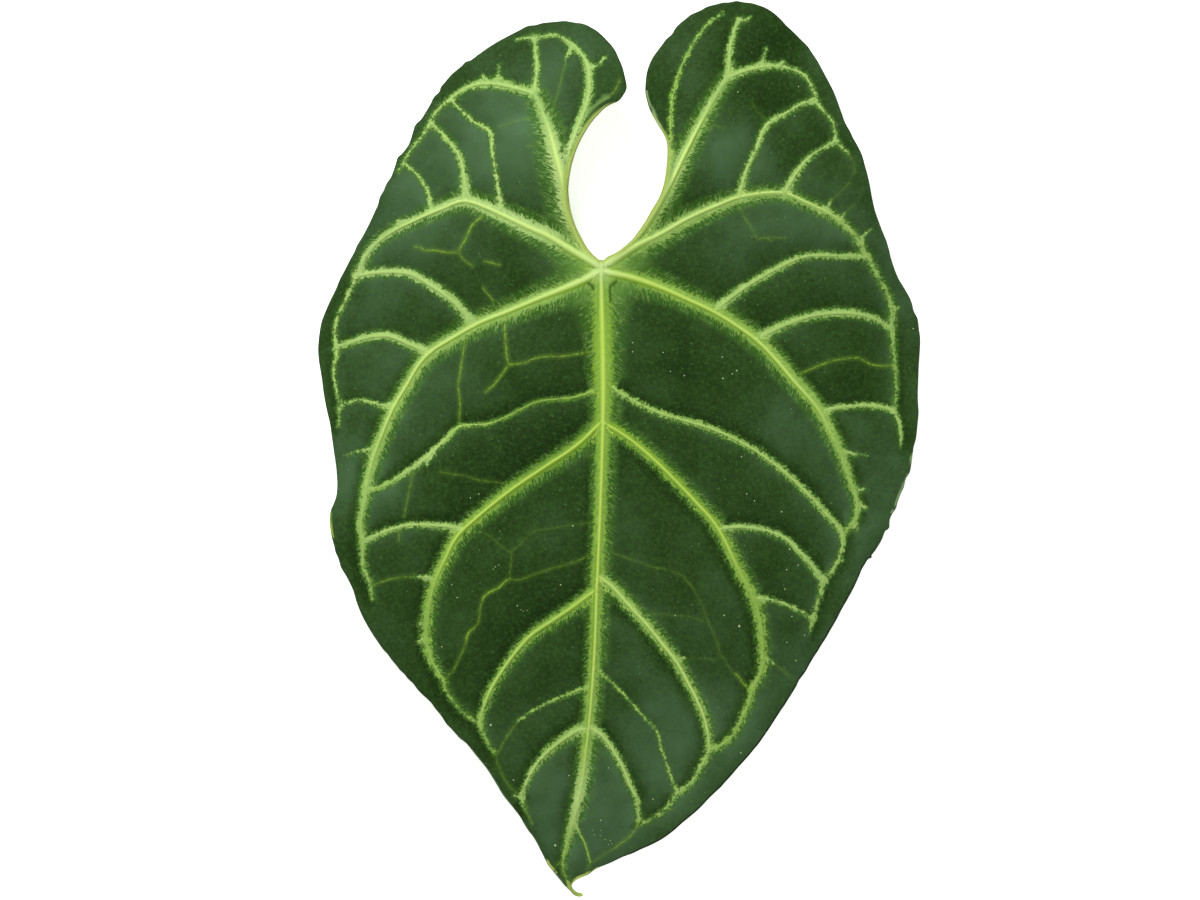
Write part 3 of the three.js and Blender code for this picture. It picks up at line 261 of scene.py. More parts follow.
# Fine cross veins: strength, line
crossVeins = (
    (0.9, (-48.8, 84), (-52.8, 80.4), (-54.4, 76.6), (-57.2, 71.8), (-57.6, 70.8)),
    (0.8, (-57.6, 70.8), (-62, 70.8), (-66, 71.6), (-70.4, 71.6), (-71.2, 72.6), (-73.2, 72.6)),
    (0.6, (-57.6, 70.8), (-55.2, 67.8), (-52.4, 65.8)), (0.6, (-48.2, 67.6), (-42.6, 66.2)),
    (0.6, (-48.8, 58.2), (-47.4, 56.4), (-45, 53.4)),
    (0.75, (-55.2, 39.4), (-55.8, 35), (-56.4, 31), (-57, 27), (-57.6, 22.6), (-57.2, 19.4), (-57, 15.8),
        (-57.2, 11), (-57.2, 8.4)),
    (0.9, (-41, 45.8), (-40.8, 42.6), (-40.4, 37), (-40, 33), (-39.6, 30.6), (-41, 28.2), (-43, 25.4),
        (-45, 23), (-47.8, 20.6)),
    (0.8, (-39.6, 30.6), (-37.8, 30.6), (-34.2, 31), (-30.2, 32.6), (-25, 33.4), (-20.2, 33.4),
        (-16.6, 34), (-12.6, 34.6), (-8.2, 35.4)),
    (0.35, (-39, -12.6), (-41.4, -12.2), (-45, -11.6), (-50.2, -11), (-55.6, -9.4), (-60, -8.8),
        (-64.4, -8)),
    (0.4, (-74, -8.6), (-74.8, -12.6), (-75.6, -16.2), (-76.4, -20.2), (-77.2, -24.2)),
    (0.4, (-79, -27.5), (-79, -33)),
    (0.2, (-10.2, -26.2), (-15, -27), (-20.2, -27.6), (-25, -28.6), (-30.2, -29.2), (-33.4, -32.2),
        (-37, -35.4), (-39, -37)),
    (0.2, (-50, -29.4), (-45.8, -31.4), (-41.8, -35), (-39, -37)),
    (0.5, (-89.4, -49.2), (-87.6, -48.6), (-85.2, -47.6), (-82, -46.6), (-78.8, -46.1), (-74, -45.7)),
    (0.4, (-11.2, -38.2), (-13.4, -39.4), (-17.8, -41), (-19.8, -41.6), (-23, -42.4), (-27, -43.6),
        (-29.8, -44.6), (-32.6, -45.8), (-35.8, -46.8), (-38.6, -46.7)),
    (0.25, (-38.6, -46.7), (-39, -44.6), (-38.7, -41), (-38.5, -37.4)),
    (1.0, (-39.4, -46.4), (-41.4, -48), (-43, -49.6), (-45, -50.6), (-47, -51.6), (-48.4, -52.8),
        (-49.2, -55)),
    (0.5, (-49.2, -55), (-49.8, -57.4), (-50, -59.8), (-50.6, -62.6), (-52.4, -64.4)),
    (1.0, (-52.4, -64.4), (-53.8, -65.8), (-54.6, -67.4), (-55, -69.2)),
    (0.5, (-55, -69.2), (-55.8, -71.8), (-56.8, -74.2), (-58, -76.6), (-59.4, -79.4), (-61, -81),
        (-62.6, -83)),
    (0.4, (-36.2, -97.6), (-37.8, -99.8), (-39.4, -102.2), (-41.4, -105.4), (-43, -108.6),
        (-44.6, -110.2)),
    (0.8, (64.6, 27), (66.6, 27.8), (70.2, 29.4), (73.8, 30.8), (77.4, 32), (82.2, 32.7), (86.6, 33),
        (88.6, 31.8), (91, 30.6), (94.2, 30.2), (99.4, 30.4)),
    (0.3, (43.2, 87), (45.2, 83.4), (48, 79), (50, 75.6), (52.4, 76.2), (54.8, 75)),
    (0.3, (52.4, 76.2), (60, 76)), (0.25, (-24.6, 107.8), (-28.4, 109), (-33, 108.8)),
    (0.25, (-28, 119.6), (-36, 118.2), (-43, 116)), (0.5, (-2.2, 127.6), (-0.4, 130.4), (0.4, 132.6)),
    (0.2, (32.4, 116.8), (34.4, 116.4), (38.4, 115.4)),
    (0.22, (-3, -36.4), (-0.2, -37.8), (2, -38.6), (4.8, -39.6), (7.6, -40.4), (10, -41.4), (13.2, -42.4),
        (16, -42.8), (19.2, -43.6), (21.8, -44.6), (24, -46.6), (26.2, -49), (28, -52.2), (30, -55.8),
        (31.6, -60.6), (32.8, -63), (33.8, -65.4), (34.8, -67.8), (36, -71), (36.8, -73.8), (38.4, -75.8),
        (40, -78.6), (41.6, -80.2)),
    (1.0, (41.6, -80.2), (43.2, -81.8), (44.4, -83.6), (46.2, -85.4), (48, -85.8)),
    (0.2, (10, -59), (13.2, -59), (16.8, -59.2), (20.4, -59.6), (25.6, -60), (30, -61.4)),
    (0.3, (-19, 138.4), (-20.4, 134), (-21.4, 129.4), (-22.8, 124.6), (-25, 118)),
    (0.2, (76.6, 89.8), (80.6, 93.4), (83, 95.8)), (0.2, (81, 84.8), (85, 88.2)),
    (0.15, (53.6, 118.4), (50, 121), (48, 124.6)), (0.2, (82.6, 106.4), (84.6, 103), (84.8, 99)),
    (0.15, (23.6, -75), (30, -75.2), (34, -75.6)),
    (0.25, (55.8, -77), (57.2, -78), (61, -81), (63.6, -83)),
    (0.8, (7.4, -133.4), (5.2, -138.2), (-1, -143.4)), (0.4, (-1, -143.4), (-4.2, -145.4), (-9, -148.6)),
    (0.35, (-45, -109), (-42.6, -115.4), (-39.8, -120.6), (-35.2, -125)),
    (0.5, (-33.6, -129.8), (-32.2, -132.6), (-31, -135)), (0.5, (-10.2, -149.2), (-11.4, -152.2)),
    (0.5, (-19.9, -148.4), (-21.8, -149.6), (-23.6, -151.2)))

# Strips and lines with a tint of their own: tint, half widths along it, line
tintLines = (
    ("tan", (1.6, 2, 2.4, 2.6, 2.4, 1.7, 1.5, 1.3, 0.5), (-6.4, 68), (-11.4, 72.6), (-15.4, 80.2),
        (-17.6, 88.6), (-17.8, 96.2), (-16.2, 104.2), (-13.4, 111.3), (-10, 117), (-5, 122.4),
        (-2.2, 124)),
    ("tan", (1.4, 1.6, 1.8, 1.8, 1.4, 1, 0.8), (-4.4, 69), (2.3, 73), (10, 82.6), (14, 89.4),
        (16.4, 96.2), (17.4, 104.2), (17.2, 110.6), (15, 115), (12, 120)),
    ("brown", (0.2, 0.35, 0.45, 0.4, 0.3), (-15.4, 80.2), (-17.8, 92.6), (-16.2, 104.2), (-11.8, 114.2),
        (-5, 122.4)),
    ("pale", (0.1, 0.25, 0.3, 0.2), (10, 128.4), (11.2, 124.2), (12.9, 120.2), (15, 116.2)),
    ("mist", (0.05, 0.3, 0.4, 0.1), (-13.2, 118.2), (-10, 122.2), (-6.2, 125), (-3.8, 126.2)),
    ("tan", (0.4, 0.9, 1.1, 1), (-18.4, -155.8), (-17.4, -158.6), (-15.2, -160.6), (-12.6, -160.8)),
    ("lemon", (0.3, 0.4, 0.7), (-14.6, -161.3), (-13.4, -161.1), (-12.6, -160.6)),
    ("lemon", (0.3, 0.5, 0.4, 0.25, 0.1), (-17, -157.2), (-16.2, -155.9), (-14.2, -154.4),
        (-11.4, -153.2), (-7, -150.6)),
    ("grey", (0.3, 0.5, 0.5, 0.4), (-26.4, -148), (-24.4, -151), (-22, -154), (-19.4, -157.2)),
    ("lemon", (0.05, 0.15, 0.1), (-25.8, -148), (-24.4, -150.2), (-22.4, -152.4)),
    ("lime", (0.3, 0.6, 0.3), (-103.7, -22.4), (-104, -26), (-103, -31.4)),
    ("pale", (0.1, 0.3, 0.4, 0.3, 0.1), (104.4, -8.4), (102.5, -13), (100.9, -16.8), (99.6, -20),
        (98.4, -22.6)),
    ("pale", (0.2, 0.6, 0.3), (105.9, -1.4), (105.7, -3), (105.3, -4.8)),
    ("grey", (0.25, 0.5, 0.5, 0.25), (-58, -103), (-50, -112), (-42, -124), (-33, -136.6)),
    # painted shade in the folds at the hub
    ("crease", (0.1, 0.2, 0.15), (-11, 59.6), (-9.8, 58.9), (-8.9, 57.6)),
    ("crease", (0.1, 0.22, 0.25, 0.2, 0.1), (-0.8, 60.2), (-2, 59.4), (-3, 57.8), (-3.1, 55.6),
        (-2.8, 53.4)),
    ("pocket", (0.1, 0.6, 0.9, 0.3), (-13, 65.5), (-11, 65.5), (-9.8, 65.3), (-8.6, 65.2)),
    ("pocket", (0.2, 0.9, 0.6, 0.1), (-4, 65.7), (-2.8, 65.3), (-1.4, 65), (0.4, 64.8)),
    ("pocket", (0.05, 0.22, 0.25, 0.22, 0.1), (-7.5, -30), (-8.6, -50), (-9.3, -70), (-10.6, -90),
        (-12, -106)),
    ("mist", (0.3, 0.9, 1.2, 1.2, 0.8, 0.3), (-14.2, 76), (-16.6, 82), (-18.4, 89), (-18.7, 96),
        (-18.8, 102), (-18, 106)),
    ("mist", (0.3, 1, 1.2, 0.9, 0.3), (8.6, 78.6), (13.8, 86.4), (17.2, 94), (19.2, 100.6), (20.2, 106)))
tintShares = {  # how strongly each tint covers, in the order that they lie on each other
    "mist": 0.6,     # haze beside the ribs of the lobes
    "grey": 0.7,     # dull rims of the margin
    "tan": 0.9,      # the bare edge of the sinus, and the drip tip
    "brown": 0.6,    # a dry line in that edge
    "pale": 0.75, "lime": 0.85, "lemon": 0.95,  # bright rims of the margin
    "pocket": 0.7,   # lit hollows at the hub and beside the midrib
    "crease": 0.85,  # painted shade in the folds at the hub
}

# Where the velvet is lighter or darker, as painted shade, painted light and painted sheen on its domes, and
# where the ribs are paler or deeper: x, y, spread, amount
velvetShadeAndSheen = (
    (-32, 118, 9, 0.9), (-53, 106, 12, 0.62), (-36, 99, 7, 0.3), (-78, 94, 9, 0.35), (-22, 136, 9, 0.25),
    (-45, 139, 9, 0.15), (-71, 78, 10, 0.5), (-25, 66, 6, 0.35), (-87, 50, 13, 0.24), (-88, 29, 12, 0.3),
    (-98, -8, 12, 0.5), (-60, 24, 11, 0.4), (-77, 0, 9, 0.3), (-20, 10, 9, -0.3), (-40, -2, 12, -0.35),
    (-80, -20, 8, 0.2), (-30, -52, 14, -0.2), (-45, -64, 8, -0.15), (-24, -124, 14, 0.42),
    (-2, -132, 14, 0.42), (26, -116, 16, 0.42), (36, 106, 8, 0.35), (43, 112, 8, 0.4), (28, 146, 7, 0.1),
    (53, 147, 10, -0.4), (52, 127, 7, -0.3), (70, 140, 6, 0.3), (40, 72, 8, 0.35), (59, 85, 11, 0.5),
    (78, 76, 8, 0.3), (101, 56, 8, 0.4), (104, 20, 13, 0.12), (95, -15, 14, 0.5), (26, 35, 11, -0.2),
    (64, 4, 15, 0.26), (86, 24, 7, -0.2), (84, -42, 10, 0.32), (66, -74, 12, 0.32), (16, -92, 15, 0.28),
    (48, -96, 12, 0.3), (-62, -20, 14, -0.12), (-56, 26, 9, -0.1), (-17, -147, 9, 0.42),
    (3, -146, 7, 0.3), (-12, 151, 8, 0.38), (-90, 76, 8, 0.3), (98, 73, 8, 0.3), (82, 91, 9, 0.22),
    (-59, -84, 8, -0.28), (-44, 44, 6, 0.28), (-90, -66, 8, 0.25), (36, -52, 9, 0.22), (4, -66, 9, 0.2),
    (52, 59, 8, -0.2), (83, 122, 7, 0.2), (-59, 122, 7, 0.2))
bandTones = (
    (-84, 62, 20, 0.4), (-40, 86, 18, 0.3), (-6, 66, 11, 0.35), (-21, 98, 13, 0.8), (22, 98, 11, 0.35),
    (-30, -8, 16, -0.35), (24, -14, 16, -0.2), (-28, -62, 14, -0.3), (-12, -108, 22, 0.25),
    (-15, -126, 9, 0.45), (-22, -107, 7, -0.5), (-28, 17, 12, -0.7), (-68, -3, 9, 0.5),
    (-8, -60, 12, 0.15), (2, -142, 6, -0.7), (99.8, 28, 12, -0.3), (-101, 24, 12, -0.2))


# Reading the drawing: curves, distances and heights

finePerStretch = 12  # places on a curve between two corners, before they are spaced evenly


def smoothCurve(corners, step, closed=False):
    # places a step apart on the smooth curve through these corners
    corners = np.array(corners, float)
    if closed:
        padded = np.vstack([corners[-1:], corners, corners[:2]])
    else:
        padded = np.vstack([2 * corners[:1] - corners[1:2], corners, 2 * corners[-1:] - corners[-2:-1]])
    shares = np.linspace(0, 1, finePerStretch, endpoint=False)[:, None]
    fine = []
    for a, b, c, d in zip(padded, padded[1:], padded[2:], padded[3:]):
        before, between, after = (max(math.dist(*pair) ** 0.5, 1e-4) for pair in ((a, b), (b, c), (c, d)))
        leave = ((b - a) / before - (c - a) / (before + between) + (c - b) / between) * between
        arrive = ((c - b) / between - (d - b) / (between + after) + (d - c) / after) * between
        fine.append(b + leave * shares + (3 * (c - b) - 2 * leave - arrive) * shares ** 2
                    + (2 * (b - c) + leave + arrive) * shares ** 3)
    fine = np.vstack(fine + [padded[-2:-1]])
    travelled = np.concatenate([[0], np.cumsum(np.hypot(*np.diff(fine, axis=0).T))])
    count = max(2, round(travelled[-1] / step))
    places = np.linspace(0, travelled[-1], count + 1)
    evenly = np.column_stack([np.interp(places, travelled, fine[:, k]) for k in (0, 1)])
    return evenly[:-1] if closed else evenly


def valuesAlong(values, count):
    return np.interp(np.linspace(0, len(values) - 1, count), range(len(values)), values)


def sidewaysOf(line):
    run = np.gradient(line, axis=0)
    run /= np.hypot(*run.T)[:, None]
    return np.column_stack([-run[:, 1], run[:, 0]])


def softStep(low, high, value):
    t = np.clip((value - low) / (high - low), 0, 1)
    return t * t * (3 - 2 * t)


def through(pairs, place):
    # the CAD's soft curve through (place, value) pairs
    places, values = (np.array(column, float) for column in zip(*pairs))
    last = len(places) - 1
    slopes = np.array([(values[min(k + 1, last)] - values[max(k - 1, 0)])
                       / (places[min(k + 1, last)] - places[max(k - 1, 0)]) for k in range(last + 1)])
    i = np.clip(np.searchsorted(places, place, side="left") - 1, 0, last - 1)
    gap = places[i + 1] - places[i]
    t = np.clip((place - places[i]) / gap, 0, 1)
    return (values[i] + (values[i + 1] - values[i]) * t * t * (3 - 2 * t)
            + gap * slopes[i] * t * (1 - t) ** 2 - gap * slopes[i + 1] * t * t * (1 - t))


mostAtOnce = 1500000  # pairs of a point and a stretch of line held in memory at once


def nearestOn(points, line, reach):
    # which points lie within reach of the line's box, how far off they are, where along it, and on which side
    near = np.flatnonzero(np.all((points > line.min(0) - reach) & (points < line.max(0) + reach), axis=1))
    starts, steps = line[:-1], np.diff(line, axis=0)
    squares = (steps ** 2).sum(1)
    far, place, side = (np.empty(len(near)) for _ in range(3))
    for part in np.array_split(np.arange(len(near)), len(near) * len(steps) // mostAtOnce + 1):
        away = points[near[part], None] - starts
        share = np.clip((away * steps).sum(2) / squares, 0, 1)
        gap = away - share[..., None] * steps
        distance = np.hypot(gap[..., 0], gap[..., 1])
        pick = distance.argmin(1)
        rows = np.arange(len(part))
        far[part] = distance[rows, pick]
        place[part] = pick + share[rows, pick]
        side[part] = steps[pick, 0] * away[rows, pick, 1] - steps[pick, 1] * away[rows, pick, 0]
    return near, far, place, np.sign(side)


def distanceField(lines):
    # a reader of the distance to the nearest of these lines, for any number of points
    corners = np.vstack(lines)
    before, after, first = [], [], 0
    for line in lines:
        last = first + len(line) - 1
        places = np.arange(first, last + 1)
        before.append(np.maximum(places - 1, first))
        after.append(np.minimum(places + 1, last))
        first = last + 1
    before, after = np.concatenate(before), np.concatenate(after)
    tree = KDTree(len(corners))
    for k, (x, y) in enumerate(corners):
        tree.insert((x, y, 0), k)
    tree.balance()

    def toStretch(points, a, b):
        step = b - a
        share = np.clip(((points - a) * step).sum(1) / np.maximum((step ** 2).sum(1), 1e-9), 0, 1)
        return np.hypot(*(points - a - share[:, None] * step).T)

    def read(points):
        nearest = np.array([tree.find((x, y, 0))[1] for x, y in points])
        middle = corners[nearest]
        return np.minimum(toStretch(points, corners[before[nearest]], middle),
                          toStretch(points, middle, corners[after[nearest]]))
    return read


# What a rib's values mean for its form and look
ribShape = {
    "stationStep": 1.2, "readReach": 12,
    "faintRidge": 0.45, "ridgeRange": 0.75,    # a ridge this low has no glow, and this much higher all of it
    "fullWidth": 4.5,                           # a band this wide has its full crest and barbs
    "crestHeight": 0.6,                         # ridge height for a ridge of 1, at full width
    "crestDull": 0.15, "spurCrest": 0.4,        # how much of it is left without glow, and on a spur
    "crestShare": 0.15,                         # ridge half width as a share of the band's full width
    "crestLeast": 0.35, "crestMost": 1.15, "crestPower": 1.5,
    "glowLeast": 0.05, "crestFullness": (0.12, 1), "barbFullness": (0.4, 1.6),
    "spurWidths": (0.8, 0.55), "spurTip": 0.2, "spurRidge": 0.5,  # the widths are shares of its first width
    "glowFade": 0.65, "shadedFurrowFade": 0.75,       # where they start to fade, as a share of crestEnd
    "yellowFade": 0.5, "hubFray": 0.9,
    "netShare": 0.36, "netLeast": 0.4,          # how much of the band's full width is raised, to each side
    "plateau": 0.22, "plateauByWidth": 0.06,    # how high the band stands beside its ridge
    "barbLeast": 0.5, "barbByRidge": 1.2, "barbAtHub": 1.5, "hubReach": 15,
    "filletReach": 0.6, "filletAtHub": 0.9,     # how softly the bands run together
    "blendRange": (-12, 40), "blendLeast": 1e-12, "noneNear": 60.0,
    "underWidth": 1.05, "webReach": 12, "hubSpot": 4,
    "veinReach": 3.0, "veinSpread": 0.6, "veinStep": 1.2,
    "tintReach": 4, "tintStep": 0.8, "tintFade": (0.5, 1.3),
    "ribApart": 211, "sideApart": 31,           # keep the pattern of each rib and side unlike the next
}
# What a point has that no rib is near
farFromRibs = {"barb": 1, "fray": 1, "crestHalf": 1, "plateau": 0.1, "yellow": 0, "glow": 0, "furrow": 0,
               "crestAt": 0, "ridge": 0}


def preparedRib(widths, line, ridge=0.7, spur=False, yellow=0.15, furrow=0, crestAt=0, crestAtHub=0.7,
                fray=1.2, barbs=1, crestEnd=0.95):
    shape = ribShape
    stations = smoothCurve(line, shape["stationStep"])
    count = len(stations)
    width = valuesAlong(widths, count)
    fullness = width / shape["fullWidth"]
    share = np.linspace(0, 1, count)
    strength = np.clip((ridge - shape["faintRidge"]) / shape["ridgeRange"], shape["glowLeast"], 1)
    glow = strength * (1 - softStep(shape["glowFade"] * crestEnd, crestEnd, share))
    hubShare = np.exp(-(np.hypot(*(stations - hub).T) / shape["hubReach"]) ** 2)
    dull = shape["crestDull"]
    crest = shape["crestHeight"] * ridge * (dull + (1 - dull) * glow)
    crest *= np.clip(fullness, *shape["crestFullness"])
    crestHalf = np.clip(width * shape["crestShare"], shape["crestLeast"], shape["crestMost"])
    barb = shape["barbLeast"] + shape["barbByRidge"] * strength * np.clip(fullness, *shape["barbFullness"])
    return {"stations": stations, "spur": spur, "values": {
        "half": width / 2, "glow": glow, "ridge": np.full(count, ridge), "fray": np.full(count, fray),
        "crest": crest * (shape["spurCrest"] if spur else 1),
        "crestHalf": crestHalf * (1 + crestAtHub * hubShare),
        "crestAt": crestAt * (1 - hubShare),
        "furrow": furrow * (1 - softStep(shape["shadedFurrowFade"] * crestEnd, crestEnd, share)),
        "netHalf": np.maximum(width * shape["netShare"], shape["netLeast"]),
        "plateau": np.minimum(shape["plateau"], shape["plateauByWidth"] * width),
        "along": share * count * shape["stationStep"],
        "lean": np.full(count, math.copysign(1, (sidewaysOf(stations) @ brightSide).mean())),
        "barb": barb * barbs * (1 + shape["barbAtHub"] * hubShare),
        "yellow": yellow * (1 - shape["yellowFade"] * share),
    }}


def preparedSpur(first, line):
    # a spur tapers to a point from its first width
    widths = [first * share for share in ribShape["spurWidths"]]
    return preparedRib((*widths, ribShape["spurTip"]), line, ridge=ribShape["spurRidge"], spur=True)


outline = smoothCurve(outlinePoints, leafForm["outlineStep"], closed=True)
ribs = [preparedRib(**entry) for entry in ribLines]
ribDistance = distanceField([rib["stations"] for rib in ribs])
marginDistance = distanceField([np.vstack([outline[-1:], outline, outline[:1]])])
ribs += [preparedSpur(first, line) for first, *line in ribSpurs]
veins = [(strength, smoothCurve(line, ribShape["veinStep"])) for strength, *line in crossVeins]
tints = [(tint, widths, smoothCurve(line, ribShape["tintStep"])) for tint, widths, *line in tintLines]
print("drawing read:", len(outline), "outline places,", len(ribs), "ribs,", len(veins), "cross veins")


def readLeaf(points):
    # everything that the drawing says at each point of the leaf
    shape, count = ribShape, len(points)
    blended, crest, under, bright, along = (np.zeros(count) for _ in range(5))
    best, netPlace = (np.full(count, shape["noneNear"]) for _ in range(2))
    own = {key: np.full(count, float(value)) for key, value in farFromRibs.items()}
    toHub = np.hypot(*(points - hub).T)
    fillet = shape["filletReach"] + shape["filletAtHub"] * np.exp(-(toHub / shape["hubReach"]) ** 2)
    for number, rib in enumerate(ribs):
        near, far, place, side = nearestOn(points, rib["stations"], shape["readReach"])
        numbers = range(len(rib["stations"]))
        here = {key: np.interp(place, numbers, column) for key, column in rib["values"].items()}
        if not rib["spur"]:
            below = here["ridge"] * (1 - softStep(0, 1, far / (here["half"] * shape["underWidth"])))
            under[near] = np.maximum(under[near], below)
        beyond = far - here["half"]
        blended[near] += np.exp(-np.clip(beyond, *shape["blendRange"]) / fillet[near])
        toBright, shift = far * side * here["lean"], here["crestAt"]
        toCrest = np.sqrt(np.maximum(far ** 2 - 2 * toBright * shift + shift ** 2, 0))
        rise = np.clip(1 - (toCrest / here["crestHalf"]) ** 2, 0, 1) ** shape["crestPower"]
        crest[near] = np.maximum(crest[near], here["crest"] * rise)
        netPlace[near] = np.minimum(netPlace[near], far / here["netHalf"])
        closer = beyond < best[near]
        chosen = near[closer]
        best[chosen] = beyond[closer]
        bright[chosen] = toBright[closer]
        along[chosen] = here["along"][closer] + shape["ribApart"] * number + shape["sideApart"] * side[closer]
        for key in own:
            own[key][chosen] = here[key][closer]
    least = shape["blendLeast"]
    edge = np.where(blended > least, -fillet * np.log(np.maximum(blended, least)), best)
    read = {"toRib": ribDistance(points), "toMargin": marginDistance(points), "crest": crest, "under": under,
            "netPlace": netPlace, "edge": edge, "along": along, **own}
    read["webs"], read["atHub"] = (np.exp(-(toHub / shape[key]) ** 2) for key in ("webReach", "hubSpot"))
    read["fray"] *= 1 - shape["hubFray"] * read["webs"]
    addVeins(points, read)
    addTints(points, read)
    addTones(points, read, bright)
    return read


def addVeins(points, read):
    veinFar, veinShare = np.full(len(points), ribShape["veinReach"]), np.zeros(len(points))
    for strength, line in veins:
        near, far, _, _ = nearestOn(points, line, ribShape["veinReach"])
        closer = far < veinFar[near]
        veinFar[near[closer]] = far[closer]
        veinShare[near[closer]] = strength
    vein = veinShare * np.exp(-(veinFar / ribShape["veinSpread"]) ** 2)
    read.update(veinFar=veinFar, veinShare=veinShare, vein=vein)


def addTints(points, read):
    for tint in tintShares:
        read[tint] = np.zeros(len(points))
    for tint, widths, line in tints:
        near, far, place, _ = nearestOn(points, line, ribShape["tintReach"])
        width = np.interp(place, range(len(line)), valuesAlong(widths, len(line)))
        read[tint][near] = np.maximum(read[tint][near], 1 - softStep(*ribShape["tintFade"], far / width))


toneShape = {
    # painted shade on the velvet at the lit side of the ribs, low on the leaf
    "lowerLeaf": (15, 60), "lowerShare": 0.85,      # y where the velvet starts to darken on the bright side
    "bandMiddle": 0.8, "bandReach": 2.4, "strongRidge": (0.45, 0.75),
    # how much painted light and painted shade the velvet beside a strong rib gets
    "paintedLightBeside": 0.2, "paintedShadeBeside": 0.5, "shorterBarb": 0.35,
    # where the painted shade along the margin is strongest, and how much of it is left elsewhere
    "edgeShadeY": (-28, -40), "edgeShadeX": (-10, 10), "edgeShadeLeast": 0.1,
    "brightEdge": (-0.4, 0.4), "crestPlaceMost": 5,
}


def softPatches(points, patches):
    x, y = points.T
    return sum(amount * np.exp(-((x - atX) ** 2 + (y - atY) ** 2) / (2 * spread ** 2))
               for atX, atY, spread, amount in patches)


def addTones(points, read, bright):
    # painted light and shade beside the strong ribs: the velvet is lightened on the side of each rib away
    # from the light and, low on the leaf, darkened on its lit side, where its fringe is short too
    x, y = points.T
    shape = toneShape
    bright = bright - read["crestAt"]
    lower = 1 - shape["lowerShare"] * softStep(*shape["lowerLeaf"], y)
    onBright = softStep(*shape["brightEdge"], bright)
    nearBand = (np.exp(-((read["edge"] - shape["bandMiddle"]) / shape["bandReach"]) ** 2)
                * softStep(*shape["strongRidge"], read["ridge"]))
    read["tone"] = (softPatches(points, velvetShadeAndSheen)
                    + nearBand * (shape["paintedLightBeside"] * (1 - onBright) - shape["paintedShadeBeside"] * onBright * lower))
    read["bandTone"] = softPatches(points, bandTones)
    read["barb"] = read["barb"] * (1 - shape["shorterBarb"] * onBright * lower)
    most = shape["crestPlaceMost"]
    read["crestPlace"] = np.clip(bright / read["crestHalf"], -most, most)
    # painted shade along the margin, strongest low on the right where it turns down
    least = shape["edgeShadeLeast"]
    lowRight = softStep(*shape["edgeShadeY"], y) * softStep(*shape["edgeShadeX"], x)
    read["edgeShadeShare"] = lowRight * (1 - least) + least


def sheetHeight(points, read):
    x, y = points.T
    form = leafForm
    side = (x - through(form["axisX"], y)) / form["halfSpan"]
    height = through(form["arch"], y) - through(form["sideDrop"], y) * side ** 2
    height += softPatches(points, form["swells"])
    toRib, toMargin = read["toRib"], read["toMargin"]
    height += (form["quiltHeight"] * toRib ** 2 / (toRib ** 2 + form["quiltReach"] ** 2)
               * toMargin / (toMargin + form["marginFlat"]))
    turn = np.arctan2(y, x)
    slow, fast = form["rippleTurns"]
    ripple = np.sin(slow * turn + form["rippleStart"]) + form["rippleSecond"] * np.sin(fast * turn)
    height += form["rippleHeight"] * ripple * np.exp(-toMargin / form["rippleReach"])
    dips = [(*foot, form["footSpread"], form["footDip"]) for foot in form["feet"]]
    return height - softPatches(points, dips)


def halfThickness(read):
    inset = np.clip(read["toMargin"] / leafForm["edgeRound"], 0, 1)
    thin = leafForm["thinEdge"] / leafForm["thickness"]
    return leafForm["thickness"] / 2 * (thin + (1 - thin) * np.sqrt(1 - (1 - inset) ** 2))


# Places for the meshes: rows beside every rib, vein and edge, then an even fill

class Places:
    # points that keep clear of each other
    def __init__(self, cell=1.0):
        self.cell, self.found, self.points = cell, {}, []

    def add(self, x, y, clearance):
        cell = self.cell
        reach = math.ceil(clearance / cell)
        cx, cy = math.floor(x / cell), math.floor(y / cell)
        for i in range(cx - reach, cx + reach + 1):
            for j in range(cy - reach, cy + reach + 1):
                for px, py in self.found.get((i, j), ()):
                    if (px - x) ** 2 + (py - y) ** 2 < clearance ** 2:
                        return
        self.found.setdefault((cx, cy), []).append((x, y))
        self.points.append((x, y))

    def addInside(self, spots, clearance, leastInset=0):
        inside = isInLeaf(spots)
        if leastInset:
            inside &= marginDistance(spots) > leastInset
        for x, y in spots[inside]:
            self.add(x, y, clearance)


def isInLeaf(points):
    x, y = points.T
    inside = np.zeros(len(points), bool)
    for (ax, ay), (bx, by) in zip(outline, np.roll(outline, -1, axis=0)):
        crosses = ((ay > y) != (by > y))
        inside[crosses] ^= x[crosses] < ax + (bx - ax) * (y[crosses] - ay) / (by - ay)
    return inside


def rowsBeside(line, offsets):
    sideways = sidewaysOf(line)
    return [line + sideways * np.reshape(offset, (-1, 1)) for offset in offsets]


def ribRows(key, share=1, beyond=0):
    # a row to each side of every rib, at a share of one of its half widths
    rows = []
    for rib in ribs:
        offset = rib["values"][key] * share + beyond
        rows += rowsBeside(rib["stations"], (offset, -offset))
    return np.vstack(rows)


def trianglesOf(points, loop=0):
    # flat triangles between the points; the first "loop" of them are the closed outline
    edges = [(i, (i + 1) % loop) for i in range(loop)]
    made = delaunay_2d_cdt([tuple(p) for p in points], edges, [], 1 if loop else 0, 1e-6, False)
    corners = np.array([tuple(v) for v in made[0]])
    triangles = np.array(made[2])
    a, b, c = (corners[triangles[:, k]] for k in range(3))
    turn = (b[:, 0] - a[:, 0]) * (c[:, 1] - a[:, 1]) - (b[:, 1] - a[:, 1]) * (c[:, 0] - a[:, 0])
    triangles[turn < 0] = triangles[turn < 0][:, ::-1]
    kept = np.abs(turn) > 1e-7
    if loop:
        kept &= isInLeaf((a + b + c) / 3)
    return corners, triangles[kept]


